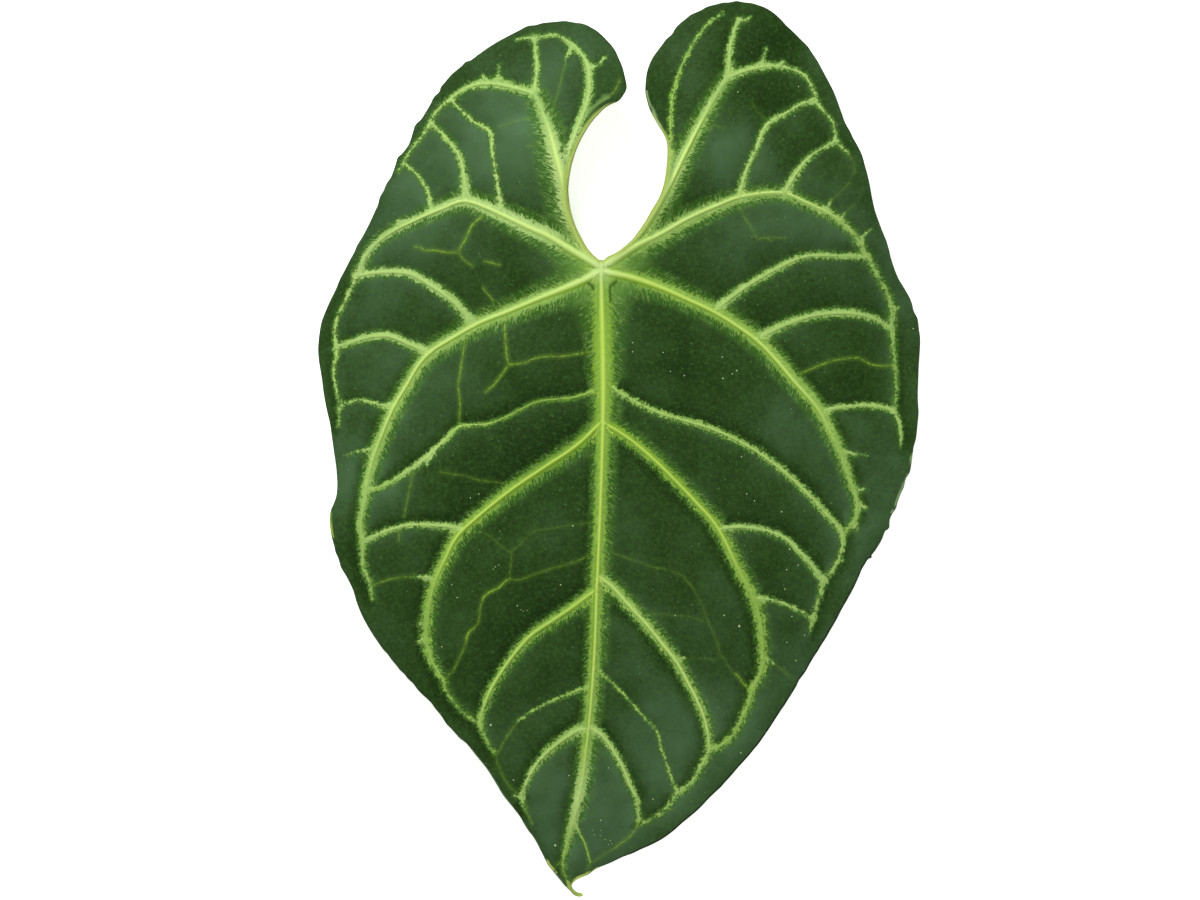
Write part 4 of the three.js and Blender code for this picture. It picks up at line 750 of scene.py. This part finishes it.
def slabFaces(triangles, count):
    # closed body: upper corners are 0..count, lower ones count..2*count
    rims = {}
    for a, b, c in triangles.tolist():
        for start, end in ((a, b), (b, c), (c, a)):
            if (end, start) in rims:
                del rims[(end, start)]
            else:
                rims[(start, end)] = True
    walls = [(start, start + count, end + count, end) for start, end in rims]
    return triangles.tolist() + (triangles[:, ::-1] + count).tolist() + walls


def ringFaces(first, sides, rings):
    # the quads between rings of corners that follow each other
    faces = []
    for k in range(rings - 1):
        start = first + k * sides
        for i in range(sides):
            j = (i + 1) % sides
            faces.append((start + i, start + j, start + sides + j, start + sides + i))
    return faces


def pieceFrom(name, corners, faces, values, finish, slot, *nodes):
    mesh = bpy.data.meshes.new(name)
    used = np.zeros(len(corners), bool)
    for face in faces:
        used[list(face)] = True
    place = np.cumsum(used) - 1
    mesh.from_pydata((corners[used] * mm).tolist(), [], [[int(place[k]) for k in face] for face in faces])
    for key, column in values.items():
        mesh.attributes.new(key, "FLOAT", "POINT").data.foreach_set("value", column[used].astype(np.float32))
    mesh.polygons.foreach_set("use_smooth", [True] * len(mesh.polygons))
    mesh.materials.append(finish)
    mesh.update()
    piece = bpy.data.objects.new(name, mesh)
    bpy.context.scene.collection.objects.link(piece)
    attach(piece, "root")
    if nodes:
        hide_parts(*nodes)
    print(name, "made:", len(mesh.polygons), "faces, lowest", round(corners[used][:, 2].min(), 2), "mm")


# Node helpers

def linear(colour):
    return tuple((c / 255 / 12.92) if c <= 10 else ((c / 255 + 0.055) / 1.055) ** 2.4 for c in colour) + (1,)


def newFinish(name, values):
    finish = bpy.data.materials.new(name)
    finish.use_nodes = True
    shader = finish.node_tree.nodes["Principled BSDF"]
    for key, value in values.items():
        shader.inputs[key].default_value = value
    return finish, finish.node_tree, shader


def addNode(tree, kind, inputs, **settings):
    made = tree.nodes.new(kind)
    for key, value in settings.items():
        setattr(made, key, value)
    for key, value in inputs.items():
        if isinstance(value, bpy.types.NodeSocket):
            tree.links.new(value, made.inputs[key])
        else:
            made.inputs[key].default_value = value
    return made


def placeOn(tree):
    return addNode(tree, "ShaderNodeTexCoord", {}).outputs["Object"]


def reading(tree, name):
    return addNode(tree, "ShaderNodeAttribute", {}, attribute_name=name).outputs["Fac"]


def sums(tree, operation, *values, clamp=False):
    inputs = dict(enumerate(values))
    return addNode(tree, "ShaderNodeMath", inputs, operation=operation, use_clamp=clamp).outputs[0]


def times(tree, first, second):
    return sums(tree, "MULTIPLY", first, second)


def scaled(tree, value, factor, more, clamp=False):
    return sums(tree, "MULTIPLY_ADD", value, factor, more, clamp=clamp)


def stepped(tree, value, low, high):
    return addNode(tree, "ShaderNodeMapRange", {0: value, 1: low, 2: high, 3: 0.0, 4: 1.0},
                   interpolation_type="SMOOTHSTEP").outputs[0]


def nearly(tree, value, middle, reach):
    # 1 up to a tenth of the reach from the middle, falling softly to 0 at the reach
    away = sums(tree, "ABSOLUTE", sums(tree, "SUBTRACT", value, middle))
    return stepped(tree, away, reach, reach * 0.1)


def mixed(tree, share, first, second):
    return addNode(tree, "ShaderNodeMix", {0: share, 6: first, 7: second}, data_type="RGBA").outputs[2]


def joined(tree, x, y, z):
    return addNode(tree, "ShaderNodeCombineXYZ", {0: x, 1: y, 2: z}).outputs[0]


def noise(tree, vector, scale, detail=2.0, rough=0.5):
    inputs = {"Vector": vector, "Scale": scale, "Detail": detail, "Roughness": rough}
    return addNode(tree, "ShaderNodeTexNoise", inputs).outputs[0]


def roughen(tree, shader, height, strength, depth):
    inputs = {"Strength": strength, "Distance": depth, "Height": height}
    tree.links.new(addNode(tree, "ShaderNodeBump", inputs).outputs[0], shader.inputs["Normal"])


# The finish that the blade and its rib net share. Colours are as seen in the studio's light.
lightGain = 1.4  # how much brighter than plain white the studio's light makes a white sheet
leafLook = {
    # the hazy velvet colour is a painted sheen on the velvet's domes
    "velvetDark": (28, 51, 14), "velvet": (41, 68, 25), "velvetSheen": (94, 129, 92),
    "velvetFleck": (68, 106, 46), "speck": (108, 152, 96), "vein": (122, 162, 52),
    "fringe": (88, 134, 42), "fringePale": (122, 164, 88), "fibre": (136, 174, 92),   # barbs and hairs
    "glade": (58, 102, 26), "hubMist": (124, 174, 74),                                # velvet behind them
    "bandYellow": (142, 184, 58), "bandPale": (172, 208, 119), "bandDeep": (96, 136, 40),
    # the hub's white is the pale hub and, along the middle of its cords, a painted highlight
    "bandWhite": (198, 226, 138), "hubFlank": (140, 184, 48), "hubWhiteAndHighlight": (206, 232, 150),
    # the crest colours are the pale crest with a painted highlight on it; the furrow colour is a real dark
    # line deepened with painted shade on the side of each crest away from the light
    "crest": (214, 243, 136), "crestYellow": (200, 232, 96), "furrow": (118, 160, 14),
    # the cord edge colour is painted shade on the flanks of the hub's cords; the edge line colour is painted
    # shade along the margin
    "cordEdgeShade": (116, 156, 40), "edgeShade": (24, 34, 18),
    "mist": (138, 176, 96), "tan": (174, 196, 98), "brown": (124, 122, 58), "lime": (178, 206, 84),
    "grey": (128, 158, 120), "pale": (168, 200, 136), "lemon": (214, 236, 112), "pocket": (120, 158, 30),
    # the crease colour is painted shade in the folds at the hub
    "crease": (44, 78, 14), "underBlade": (122, 156, 78), "underRib": (176, 198, 122),
}
leafGloss = {  # roughness, shine
    "velvetBlade": (0.6, 0.04), "satinRibs": (0.5, 0.12)}
leafNoises = {  # over the leaf: scale, detail, roughness
    "ragged": (420, 3, 0.7), "frayed": (1000, 3, 0.75), "cloud": (60, 3, 0.6), "mottle": (750, 3, 0.65),
    "grain": (2600, 2, 0.6)}
fringeNoises = {  # along the ribs: lean, stretch outwards, shift, then as above
    "streaks": (-0.75, 0.3, 0.0, 1.3, 3, 0.65), "hairs": (-0.6, 0.22, 5.0, 1.1, 2, 0.6)}
crestLines = {  # beside a crest, in ridge half widths towards the light: middle, reach. The furrow line is a real dark line deepened with painted shade, the crest line the pale crest with a painted highlight, and the hub line a painted highlight along the hub's cords
    "shadedFurrowLine": (-1.0, 0.6), "crestHighlightLine": (0.05, 1.35), "hubHighlightLine": (0.1, 0.8)}
leafPattern = {
    "raggedReach": 2.2, "frayedReach": 3.0, "edgeMiddle": -2.6,  # the wobble of the band's edge
    "band": (1.2, -1.5), "bandGain": 1.4, "streakGain": 3.0, "streakAtHub": -0.8,
    "full": 0.35, "fullAtHub": 0.75, "startAtHub": 0.35,         # from where to where the band is pale
    # the cord edge is painted shade on the flanks of the hub's cords
    "gladeReach": 2.4, "gladeAtHub": 1.4, "gladeStart": 0.2, "hair": (0.5, 0.055), "cordEdgeShade": (1.4, 0.65),
    "cloudReach": 1.1, "netScale": 190.0, "bendScale": 160.0, "bend": 0.006, "netFray": 0.12,
    "dotScale": 420.0, "veinFray": 1.6, "veinCore": (0.5, 0.0), "veinPatch": (0.28, 0.6), "coreShare": 0.85,
    "veinHalo": (1.7, 0.2), "haloShare": 0.25, "bumpStrength": 0.3, "bumpDepth": 0.00012, "grainShare": 0.35,
}
# What each colour is made of: its base, then the layers on it from below. A layer says its colour, how
# strongly it covers, and what that is multiplied by: a value, or a value with where it starts and is full.
leafLayers = {
    "glade": ("glade", ("hubMist", 1, "webs")),
    "fringe": ("fringe", ("fringePale", 1, ("bandTone", 0.0, 0.5))),
    "crest": ("crest", ("crestYellow", 1, ("yellow", 0.3, 0.9))),
    "velvetAll": (
        # the tone darkens the velvet with painted shade and lifts it towards the hazy colour, a painted
        # sheen; its clouds are random
        "velvetDark", ("velvet", 1, ("tone", -0.55, 0.1)), ("velvetSheen", 1, ("tone", -0.2, 1.6)),
        ("velvetFleck", 0.5, ("mottle", 0.44, 0.8)),
        ("velvetDark", 0.5, ("mottle", 0.5, 0.25), ("tone", 0.8, 0.0)),
        ("velvetFleck", 0.16, ("net", 0.12, 0.03)),
        ("speck", 0.6, ("dot", 0.15, 0.05), ("dotKind", 0.45, 0.95)),
        ("glade", 0.75, "glade"), ("vein", 1, "vein"),
        ("fibre", 0.8, "hair", ("reach", 2.2, 0.4), ("ragged", 0.35, 0.6))),
    "bandAll": (
        "bandPale", ("bandYellow", 1, "yellow"), ("bandDeep", 1, ("bandTone", 0.0, -0.9)),
        ("bandWhite", 1, ("bandTone", 0.0, 0.9)), ("fringe", 0.5, ("streaks", 0.62, 0.35)),
        ("fringe", 0.8, ("reach", -1.1, 1.2)), ("hubFlank", 0.55, "webs"),
        # painted shade on the flanks of the hub's cords and beside each crest, then the pale crest with its
        # painted highlight and a painted highlight along the hub's cords
        ("cordEdgeShade", 0.65, "cordEdgeShade", ("webs", 0.0, 0.2)), ("furrow", 0.9, "shadedFurrowLine", "furrow"),
        ("crest", 0.85, "crestHighlightLine", "glow"), ("hubWhiteAndHighlight", 0.6, "hubHighlightLine", "webs"),
        ("hubWhiteAndHighlight", 0.9, "atHub")),
    "upper": (
        "velvetAll", ("bandAll", 1, "band"), *((tint, share, tint) for tint, share in tintShares.items()),
        # painted shade along the margin
        ("edgeShade", 1, ("toMargin", 0.75, 0.3), "edgeShadeShare")),
    "lower": (
        "underBlade", ("underRib", 1, ("edge", 0.9, -0.7)), ("velvetFleck", 0.25, ("cloud", 0.4, 0.7)),
        ("underRib", 0.4, ("veinFar", 1.2, 0.3))),
    "leaf": ("upper", ("lower", 1, ("under", 0.3, 0.7))),
}
meshKeys = (  # what the mesh carries for the finish
    "edge", "along", "crestPlace", "barb", "fray", "yellow", "glow", "furrow", "webs", "atHub", "tone",
    "bandTone", "veinFar", "veinShare", "toMargin", "edgeShadeShare", *tintShares)


def litColour(colour):
    return tuple(part / lightGain for part in linear(colour)[:3]) + (1,)


def patternValues(tree, place):
    # the values that the layers read: those that the mesh carries, and patterns
    pattern = leafPattern
    values = {name: reading(tree, name) for name in (*meshKeys, "under")}
    values.update({name: noise(tree, place, *numbers) for name, numbers in leafNoises.items()})
    edge, webs, ragged, frayed = (values[name] for name in ("edge", "webs", "ragged", "frayed"))
    for name, (lean, stretch, shift, *numbers) in fringeNoises.items():
        spot = joined(tree, scaled(tree, edge, lean, values["along"]), times(tree, edge, stretch), shift)
        values[name] = noise(tree, spot, *numbers)
    for name, line in crestLines.items():
        values[name] = nearly(tree, values["crestPlace"], *line)
    values["cordEdgeShade"] = nearly(tree, sums(tree, "ABSOLUTE", values["crestPlace"]), *pattern["cordEdgeShade"])
    values["hair"] = nearly(tree, values["hairs"], *pattern["hair"])

    # the ragged edge of the band, with fine barbs that leave it forwards and outwards
    wobble = scaled(tree, frayed, pattern["frayedReach"], pattern["edgeMiddle"])
    wobble = scaled(tree, ragged, pattern["raggedReach"], wobble)
    reach = sums(tree, "DIVIDE", scaled(tree, wobble, values["fray"], edge), values["barb"])
    streak = times(tree, scaled(tree, values["streaks"], pattern["streakGain"], -1.0, clamp=True),
                   scaled(tree, webs, pattern["streakAtHub"], 1.0))
    band = stepped(tree, reach, *pattern["band"])
    band = scaled(tree, band, pattern["bandGain"], times(tree, streak, -1.0))
    values["band"] = stepped(tree, band, times(tree, webs, pattern["startAtHub"]),
                             scaled(tree, webs, pattern["fullAtHub"], pattern["full"]))
    gladeReach = scaled(tree, webs, pattern["gladeAtHub"], pattern["gladeReach"])
    values.update(reach=reach, glade=stepped(tree, reach, gladeReach, pattern["gladeStart"]))

    # the velvet's clouds, fine netting and pale dots
    cloud = scaled(tree, values["cloud"], pattern["cloudReach"], -pattern["cloudReach"] / 2)
    values["tone"] = sums(tree, "ADD", values["tone"], cloud)
    bend = addNode(tree, "ShaderNodeTexNoise", {"Vector": place, "Scale": pattern["bendScale"]})
    bent = addNode(tree, "ShaderNodeVectorMath", operation="MULTIPLY_ADD",
                   inputs={0: bend.outputs["Color"], 1: (pattern["bend"],) * 3, 2: place})
    netting = addNode(tree, "ShaderNodeTexVoronoi", {"Vector": bent.outputs[0], "Scale": pattern["netScale"]},
                      feature="DISTANCE_TO_EDGE")
    values["net"] = scaled(tree, values["mottle"], pattern["netFray"], netting.outputs[0])
    dots = addNode(tree, "ShaderNodeTexVoronoi", {"Vector": place, "Scale": pattern["dotScale"]})
    values["dot"] = dots.outputs["Distance"]
    values["dotKind"] = addNode(tree, "ShaderNodeSeparateColor", {0: dots.outputs["Color"]}).outputs[0]

    # the frayed cross veins, a patchy core in a soft halo
    veinEdge = sums(tree, "ADD", values["veinFar"], -pattern["veinFray"] / 2)
    veinEdge = scaled(tree, frayed, pattern["veinFray"], veinEdge)
    patch = stepped(tree, ragged, *pattern["veinPatch"])
    core = times(tree, stepped(tree, veinEdge, *pattern["veinCore"]), patch)
    halo = times(tree, stepped(tree, veinEdge, *pattern["veinHalo"]), pattern["haloShare"])
    values["vein"] = times(tree, scaled(tree, core, pattern["coreShare"], halo), values["veinShare"])
    return values


def leafFinish(name):
    rough, shine = leafGloss[name]
    finish, tree, shader = newFinish(name, {"Roughness": rough, "Specular IOR Level": shine})
    values = patternValues(tree, placeOn(tree))
    colours = {key: litColour(value) for key, value in leafLook.items()}
    for result, (base, *layers) in leafLayers.items():
        made = colours[base]
        for colour, cover, *covers in layers:
            for part in covers:
                value = values[part] if isinstance(part, str) else stepped(tree, values[part[0]], *part[1:])
                cover = times(tree, cover, value)
            made = mixed(tree, cover, made, colours[colour])
        colours[result] = made
    tree.links.new(colours["leaf"], shader.inputs["Base Color"])
    share = leafPattern["grainShare"]
    height = scaled(tree, values["grain"], share, times(tree, values["mottle"], 1 - share))
    roughen(tree, shader, height, leafPattern["bumpStrength"], leafPattern["bumpDepth"])
    return finish


def leafValues(read):
    # what the mesh carries, first on the upper corners and then on the lower ones
    values = {key: np.tile(read[key], 2) for key in meshKeys}
    values["under"] = np.repeat([0.0, 1.0], len(read["edge"]))
    return values


# The blade: one closed sheet with ribs in relief on its underside

bladeMake = {
    "marginRows": (0.2, 0.6, 1.1, 1.9), "marginClearance": 0.3, "tintClearance": 0.35, "closeInset": 0.12,
    "rowShares": (0, 0.5, 1), "rowClearance": 0.55, "outerRow": 1.3, "outerClearance": 0.8, "inset": 0.35,
    "veinOffset": 0.6, "veinHeight": 0.12, "veinClearance": 0.45,
    "fillStep": 2.1, "fillClearance": 1.35, "fillBox": (111, 163),
}


def bladePlaces():
    make, places = bladeMake, Places()
    for x, y in outline:
        places.add(x, y, 0)
    run = np.roll(outline, -1, axis=0) - np.roll(outline, 1, axis=0)
    inward = np.column_stack([-run[:, 1], run[:, 0]]) / np.hypot(*run.T)[:, None]
    marginRows = np.vstack([outline + inward * inset for inset in make["marginRows"]])
    places.addInside(marginRows, make["marginClearance"], make["closeInset"])
    places.addInside(np.vstack([line for _, _, line in tints]), make["tintClearance"], make["closeInset"])
    for share in make["rowShares"]:
        places.addInside(ribRows("half", share), make["rowClearance"], make["inset"])
    veinOffsets = np.array([0, 1, -1]) * make["veinOffset"]
    veinRows = np.vstack([row for _, line in veins for row in rowsBeside(line, veinOffsets)])
    places.addInside(veinRows, make["veinClearance"], make["inset"])
    places.addInside(ribRows("half", 1, make["outerRow"]), make["outerClearance"], make["inset"])
    step, (halfWide, halfLong) = make["fillStep"], make["fillBox"]
    rowGap = step * math.sqrt(3) / 2
    rows, columns = int(2 * halfLong / rowGap), int(2 * halfWide / step)
    grid = np.array([((column + row % 2 / 2) * step - halfWide, row * rowGap - halfLong)
                     for row in range(rows) for column in range(columns)])
    places.addInside(grid, make["fillClearance"])
    return np.array(places.points)


flat, bladeTriangles = trianglesOf(bladePlaces(), len(outline))
print("blade places:", len(flat), "triangles:", len(bladeTriangles))
leaf = readLeaf(flat)
bladeSheet, bladeHalf = sheetHeight(flat, leaf), halfThickness(leaf)
underRelief = leaf["under"] * leafForm["underRib"] * softStep(*leafForm["underFade"], leaf["toMargin"])
bladeUnder = bladeSheet - bladeHalf - underRelief


def lowestNear(foot):
    near = np.flatnonzero(np.hypot(*(flat - foot).T) < leafForm["footReach"])
    best = near[bladeUnder[near].argmin()]
    return [*flat[best], bladeUnder[best]]


# The leaf is levelled on the lowest place of each foot
footPoints = np.array([lowestNear(foot) for foot in leafForm["feet"]])
groundPlane = np.linalg.solve(np.column_stack([footPoints[:, :2], np.ones(3)]), footPoints[:, 2])


def groundAt(points):
    return points @ groundPlane[:2] + groundPlane[2]


def placed(points, heights):
    return np.column_stack([points + leafShift, heights - groundAt(points)])


bladeUpper = bladeSheet + bladeHalf + bladeMake["veinHeight"] * leaf["vein"]
bladeCorners = np.vstack([placed(flat, bladeUpper), placed(flat, bladeUnder)])
pieceFrom("leafBlade", bladeCorners, slabFaces(bladeTriangles, len(flat)), leafValues(leaf),
          leafFinish("velvetBlade"), "blade", "leaf_blade")


# The raised rib net, sunk into the blade's upper face

netMake = {
    "crestShares": (0.0, 0.5, 1.0, 1.4), "sideShares": (0.9, 1.12), "tints": ("tan", "crease"),
    "clearance": 0.3, "within": 1.07, "longestEdge": 3,  # the last two say which triangles are kept
    "plateauFade": (0.5, 1.1), "sinkFade": (0.8, 1.12), "sink": 0.14, "root": 0.1,
}


def netPlaces():
    places = Places()
    for key, shares in (("crestHalf", netMake["crestShares"]), ("netHalf", netMake["sideShares"])):
        for share in shares:
            places.addInside(ribRows(key, share), netMake["clearance"], bladeMake["inset"])
    tinted = np.vstack([line for tint, _, line in tints if tint in netMake["tints"]])
    places.addInside(tinted, netMake["clearance"], bladeMake["inset"])
    return np.array(places.points)


netFlat, netTriangles = trianglesOf(netPlaces())
net = readLeaf(netFlat)
spans = netFlat[netTriangles]
longest = np.max([np.hypot(*(spans[:, k] - spans[:, k - 1]).T) for k in range(3)], axis=0)
kept = (net["netPlace"][netTriangles].mean(1) < netMake["within"]) & (longest < netMake["longestEdge"])
netSheet = sheetHeight(netFlat, net)
lift = (net["crest"] + net["plateau"] * (1 - softStep(*netMake["plateauFade"], net["netPlace"]))
        - netMake["sink"] * softStep(*netMake["sinkFade"], net["netPlace"]))
netUpper = placed(netFlat, netSheet + halfThickness(net) + lift)
netCorners = np.vstack([netUpper, placed(netFlat, netSheet - netMake["root"])])
netValues = leafValues(net)
netValues["under"] *= 0  # the net's lower face is inside the blade
pieceFrom("ribNet", netCorners, slabFaces(netTriangles[kept], len(netFlat)), netValues,
          leafFinish("satinRibs"), "ribs", "rib_net")


# The cut stalk under the hub

stalkMake = {
    "x": -6.2, "line": (  # y, how far under the hub, radius
        (63.3, 0.4, 3.0), (63.3, 3, 3.3), (63.1, 7, 3.5), (62, 11, 3.45), (59.2, 15, 3.1), (54.2, 18.4, 2.8),
        (47, 19.8, 2.6), (38.5, 20.6, 2.5), (30, 20.8, 2.5)),
    "sides": 32, "ringStep": 0.7, "flutes": 9, "fluteDepth": 0.012, "fluteTwist": 0.02,
    "cutRings": ((0.93, -0.1), (0.5, 0.12), (0.12, 0.16)),  # share of the radius, how far it is sunk
    "gloss": {"Roughness": 0.42, "Specular IOR Level": 0.4},
    "grain": (2.0, 3, 0.6), "grainTurns": 6.0, "grainStretch": 0.12, "grainStep": (0.35, 0.7),
    "turnStretch": 1.5,
    "bumpStrength": 0.4, "bumpDepth": 0.0001,
    "bundleScale": 1100.0, "bundleStep": (0.3, 0.15),       # the dots on the cut face
    # dark skin, skin, cut face and its dots
    "colours": ((96, 138, 48), (136, 172, 70), (196, 206, 150), (140, 150, 88)),
}


def stalkFinish():
    make = stalkMake
    finish, tree, shader = newFinish("stalkSkin", make["gloss"])
    turn, along = times(tree, reading(tree, "turn"), make["grainTurns"]), reading(tree, "along")
    grainPlace = joined(tree, turn, times(tree, along, make["grainStretch"]), 0.0)
    grain = noise(tree, grainPlace, *make["grain"])
    skinDark, skin, cutFace, cutRim = (litColour(colour) for colour in make["colours"])
    side = mixed(tree, stepped(tree, grain, *make["grainStep"]), skinDark, skin)
    bundles = addNode(tree, "ShaderNodeTexVoronoi", {"Vector": placeOn(tree), "Scale": make["bundleScale"]})
    bundle = stepped(tree, bundles.outputs["Distance"], *make["bundleStep"])
    face = mixed(tree, bundle, cutFace, cutRim)
    tree.links.new(mixed(tree, reading(tree, "cut"), side, face), shader.inputs["Base Color"])
    roughen(tree, shader, grain, make["bumpStrength"], make["bumpDepth"])
    return finish


def makeStalk():
    make = stalkMake
    top = np.array([[make["x"], make["line"][0][0]]])
    hubHeight = (sheetHeight(top, readLeaf(top)) - groundAt(top))[0]
    line = smoothCurve([(y, hubHeight - drop) for y, drop, _ in make["line"]], make["ringStep"])
    radii = valuesAlong([radius for _, _, radius in make["line"]], len(line))
    run = np.gradient(line, axis=0)
    run /= np.hypot(*run.T)[:, None]
    rings = [(*middle, *way, radius, 0) for middle, way, radius in zip(line, run, radii)]
    rings += [(*line[-1], *run[-1], radii[-1] * share, sunk) for share, sunk in make["cutRings"]]
    corners, values = [], {"cut": [], "turn": [], "along": []}
    for k, (y, z, runY, runZ, radius, sunk) in enumerate(rings):
        onSkin = k < len(line)
        for angle in np.arange(make["sides"]) / make["sides"] * 2 * math.pi:
            flute = make["fluteDepth"] * math.sin(make["flutes"] * angle + make["fluteTwist"] * k)
            around = radius * (1 + onSkin * flute)
            side, lift = math.cos(angle) * around, math.sin(angle) * around
            corners.append((make["x"] + side, y - lift * runZ - sunk * runY, z + lift * runY - sunk * runZ))
            values["cut"].append(not onSkin)
            values["turn"].append(onSkin * (math.cos(angle) * make["turnStretch"] + math.sin(angle)))
            values["along"].append(onSkin * k * make["ringStep"])
    sides = make["sides"]
    faces = ringFaces(0, sides, len(rings))
    faces += [tuple(range(sides))[::-1], tuple(range(len(corners) - sides, len(corners)))]
    corners = np.array(corners) + (*leafShift, 0)
    values = {key: np.array(column, float) for key, column in values.items()}
    pieceFrom("cutStalk", corners, faces, values, stalkFinish(), "ribs", "rib_net")


makeStalk()


# Pale specks of dust on the upper face

dustMake = {
    "specks": (  # x, y, radius
        (42.8, 128.4, 0.3), (64.7, 130.5, 0.3), (63.3, 119.8, 0.25), (5, 38.3, 0.3), (5, 35, 0.3),
        (16, 34.8, 0.3), (18.6, 28, 0.25), (23.6, 26.5, 0.3), (37.2, 33.2, 0.3), (42.4, 28.3, 0.35),
        (40.8, 27.1, 0.3), (37.4, 25.5, 0.35), (106.4, 43.6, 0.3), (44.2, -2.6, 0.3), (46, -16, 0.3),
        (48.8, -18.4, 0.3), (58.6, -22.4, 0.35), (-16.4, -27.4, 0.35), (-50.2, -16, 0.3),
        (-53.2, -17.4, 0.3), (-58, -53.2, 0.3), (-63.6, -71, 0.3), (-60, -48.6, 0.25),
        (-20.8, -48.6, 0.3), (-36.4, -56.2, 0.3), (61.5, -35.9, 0.35), (60.4, -43.2, 0.3),
        (59.8, -50.2, 0.3), (43.4, -63.5, 0.5), (38, -59.6, 0.35), (20.4, -59.6, 0.3), (64.6, -41.6, 0.3),
        (62.4, -60.1, 0.3), (67, -66.9, 0.3), (63.9, -76, 0.3), (60.6, -69.4, 0.25), (70, -56.6, 0.25),
        (-46, -99.2, 0.5), (-15.6, -120.2, 0.35), (-37.8, -119, 0.3), (-6.4, -133.6, 0.3),
        (-17.8, -117.4, 0.3), (-3.6, -114.6, 0.25), (-22.8, -142.7, 0.5), (12.4, -125.9, 0.3),
        (44, -109.2, 0.3), (-9.4, -137.2, 0.2), (-8.6, -138.8, 0.2), (-6.4, -137.2, 0.2),
        (-6.6, -139.2, 0.2), (-4.8, -140.6, 0.2), (-3, -141, 0.2), (-2.4, -142, 0.2), (-3.6, -142.4, 0.2),
        (-45, -43, 0.25), (-44.2, -42.2, 0.25), (-43, -41.4, 0.25), (-35, -57.6, 0.2),
        (-34.2, -58.1, 0.2), (-32.8, -57.8, 0.2)),
    "sides": 8, "rise": 0.5, "sunk": 0.15, "colour": (176, 204, 146), "roughness": 0.8,
    "rings": ((1, 0), (0.7, 0.7)),  # share of the radius, share of the rise
}


def makeDust():
    make, sides = dustMake, dustMake["sides"]
    angles = np.arange(sides) / sides * 2 * math.pi
    ring = np.column_stack([np.cos(angles), np.sin(angles)])
    spots, rises, faces = [], [], []
    for x, y, radius in make["specks"]:
        start = len(spots)
        for share, rise in make["rings"]:
            spots += list(np.array([x, y]) + ring * radius * share)
            rises += [rise * make["rise"] * radius - make["sunk"] * (rise == 0)] * sides
        spots.append(np.array([x, y]))
        rises.append(make["rise"] * radius)
        inner, top = start + sides, start + 2 * sides
        faces += ringFaces(start, sides, 2)
        faces += [(inner + i, inner + (i + 1) % sides, top) for i in range(sides)]
        faces.append(tuple(range(start, inner))[::-1])
    spots = np.array(spots)
    read = readLeaf(spots)
    heights = sheetHeight(spots, read) + halfThickness(read) + bladeMake["veinHeight"] * read["vein"]
    look = {"Base Color": litColour(make["colour"]), "Roughness": make["roughness"]}
    corners = placed(spots, heights + np.array(rises))
    pieceFrom("dustSpecks", corners, faces, {}, newFinish("paleDust", look)[0], "blade")


makeDust()


# Floor, light and camera

studio = {
    "floor": (250, 250, 250), "floorDim": (240, 240, 240), "floorGlow": 0.52, "floorHalf": 4,
    "floorGloss": {"Roughness": 0.9, "Specular IOR Level": 0.1}, "floorNoise": (6, 2, 0.5), "floorMix": 0.05,
    "world": (255, 255, 255), "worldStrength": 0.6,
    "lamps": (  # name, place in metres, size, watts
        ("keyLamp", (-0.4, 1.05, 1.05), 0.8, 20.0), ("topLamp", (0.2, -0.3, 2.6), 1.4, 14.0)),
    "lens": 300, "sensor": 36, "above": 3.6, "meanHeight": 0.012, "aim": (-0.0070, -0.0001),
}


def makeFloor():
    half = studio["floorHalf"]
    mesh = bpy.data.meshes.new("floor")
    corners = [(-half, -half, 0), (half, -half, 0), (half, half, 0), (-half, half, 0)]
    mesh.from_pydata(corners, [], [(0, 1, 2, 3)])
    glow = {"Emission Color": (1, 1, 1, 1), "Emission Strength": studio["floorGlow"]}
    finish, tree, shader = newFinish("paleFloor", {**studio["floorGloss"], **glow})
    tone = times(tree, noise(tree, placeOn(tree), *studio["floorNoise"]), studio["floorMix"])
    colour = mixed(tree, tone, linear(studio["floor"]), linear(studio["floorDim"]))
    tree.links.new(colour, shader.inputs["Base Color"])
    mesh.materials.append(finish)
    floor = bpy.data.objects.new("floor", mesh)
    bpy.context.scene.collection.objects.link(floor)


def makeLamps():
    for name, place, size, watts in studio["lamps"]:
        lamp = bpy.data.lights.new(name, "AREA")
        lamp.shape, lamp.size, lamp.energy = "DISK", size, watts
        holder = bpy.data.objects.new(name, lamp)
        holder.location = place
        holder.rotation_euler = (-holder.location).to_track_quat("-Z", "Y").to_euler()
        bpy.context.scene.collection.objects.link(holder)
    world = bpy.data.worlds.new("studioWorld")
    world.use_nodes = True
    sky = world.node_tree.nodes["Background"]
    sky.inputs["Color"].default_value = linear(studio["world"])
    sky.inputs["Strength"].default_value = studio["worldStrength"]
    bpy.context.scene.world = world


def makeCamera():
    lens = bpy.data.cameras.new("photoCamera")
    lens.lens, lens.sensor_width = studio["lens"], studio["sensor"]
    camera = bpy.data.objects.new("photoCamera", lens)
    camera.location = (*studio["aim"], studio["above"] + studio["meanHeight"])
    bpy.context.scene.collection.objects.link(camera)
    bpy.context.scene.camera = camera
    bpy.context.scene.view_settings.view_transform = "Standard"


makeFloor()
makeLamps()
makeCamera()
print("studio made")
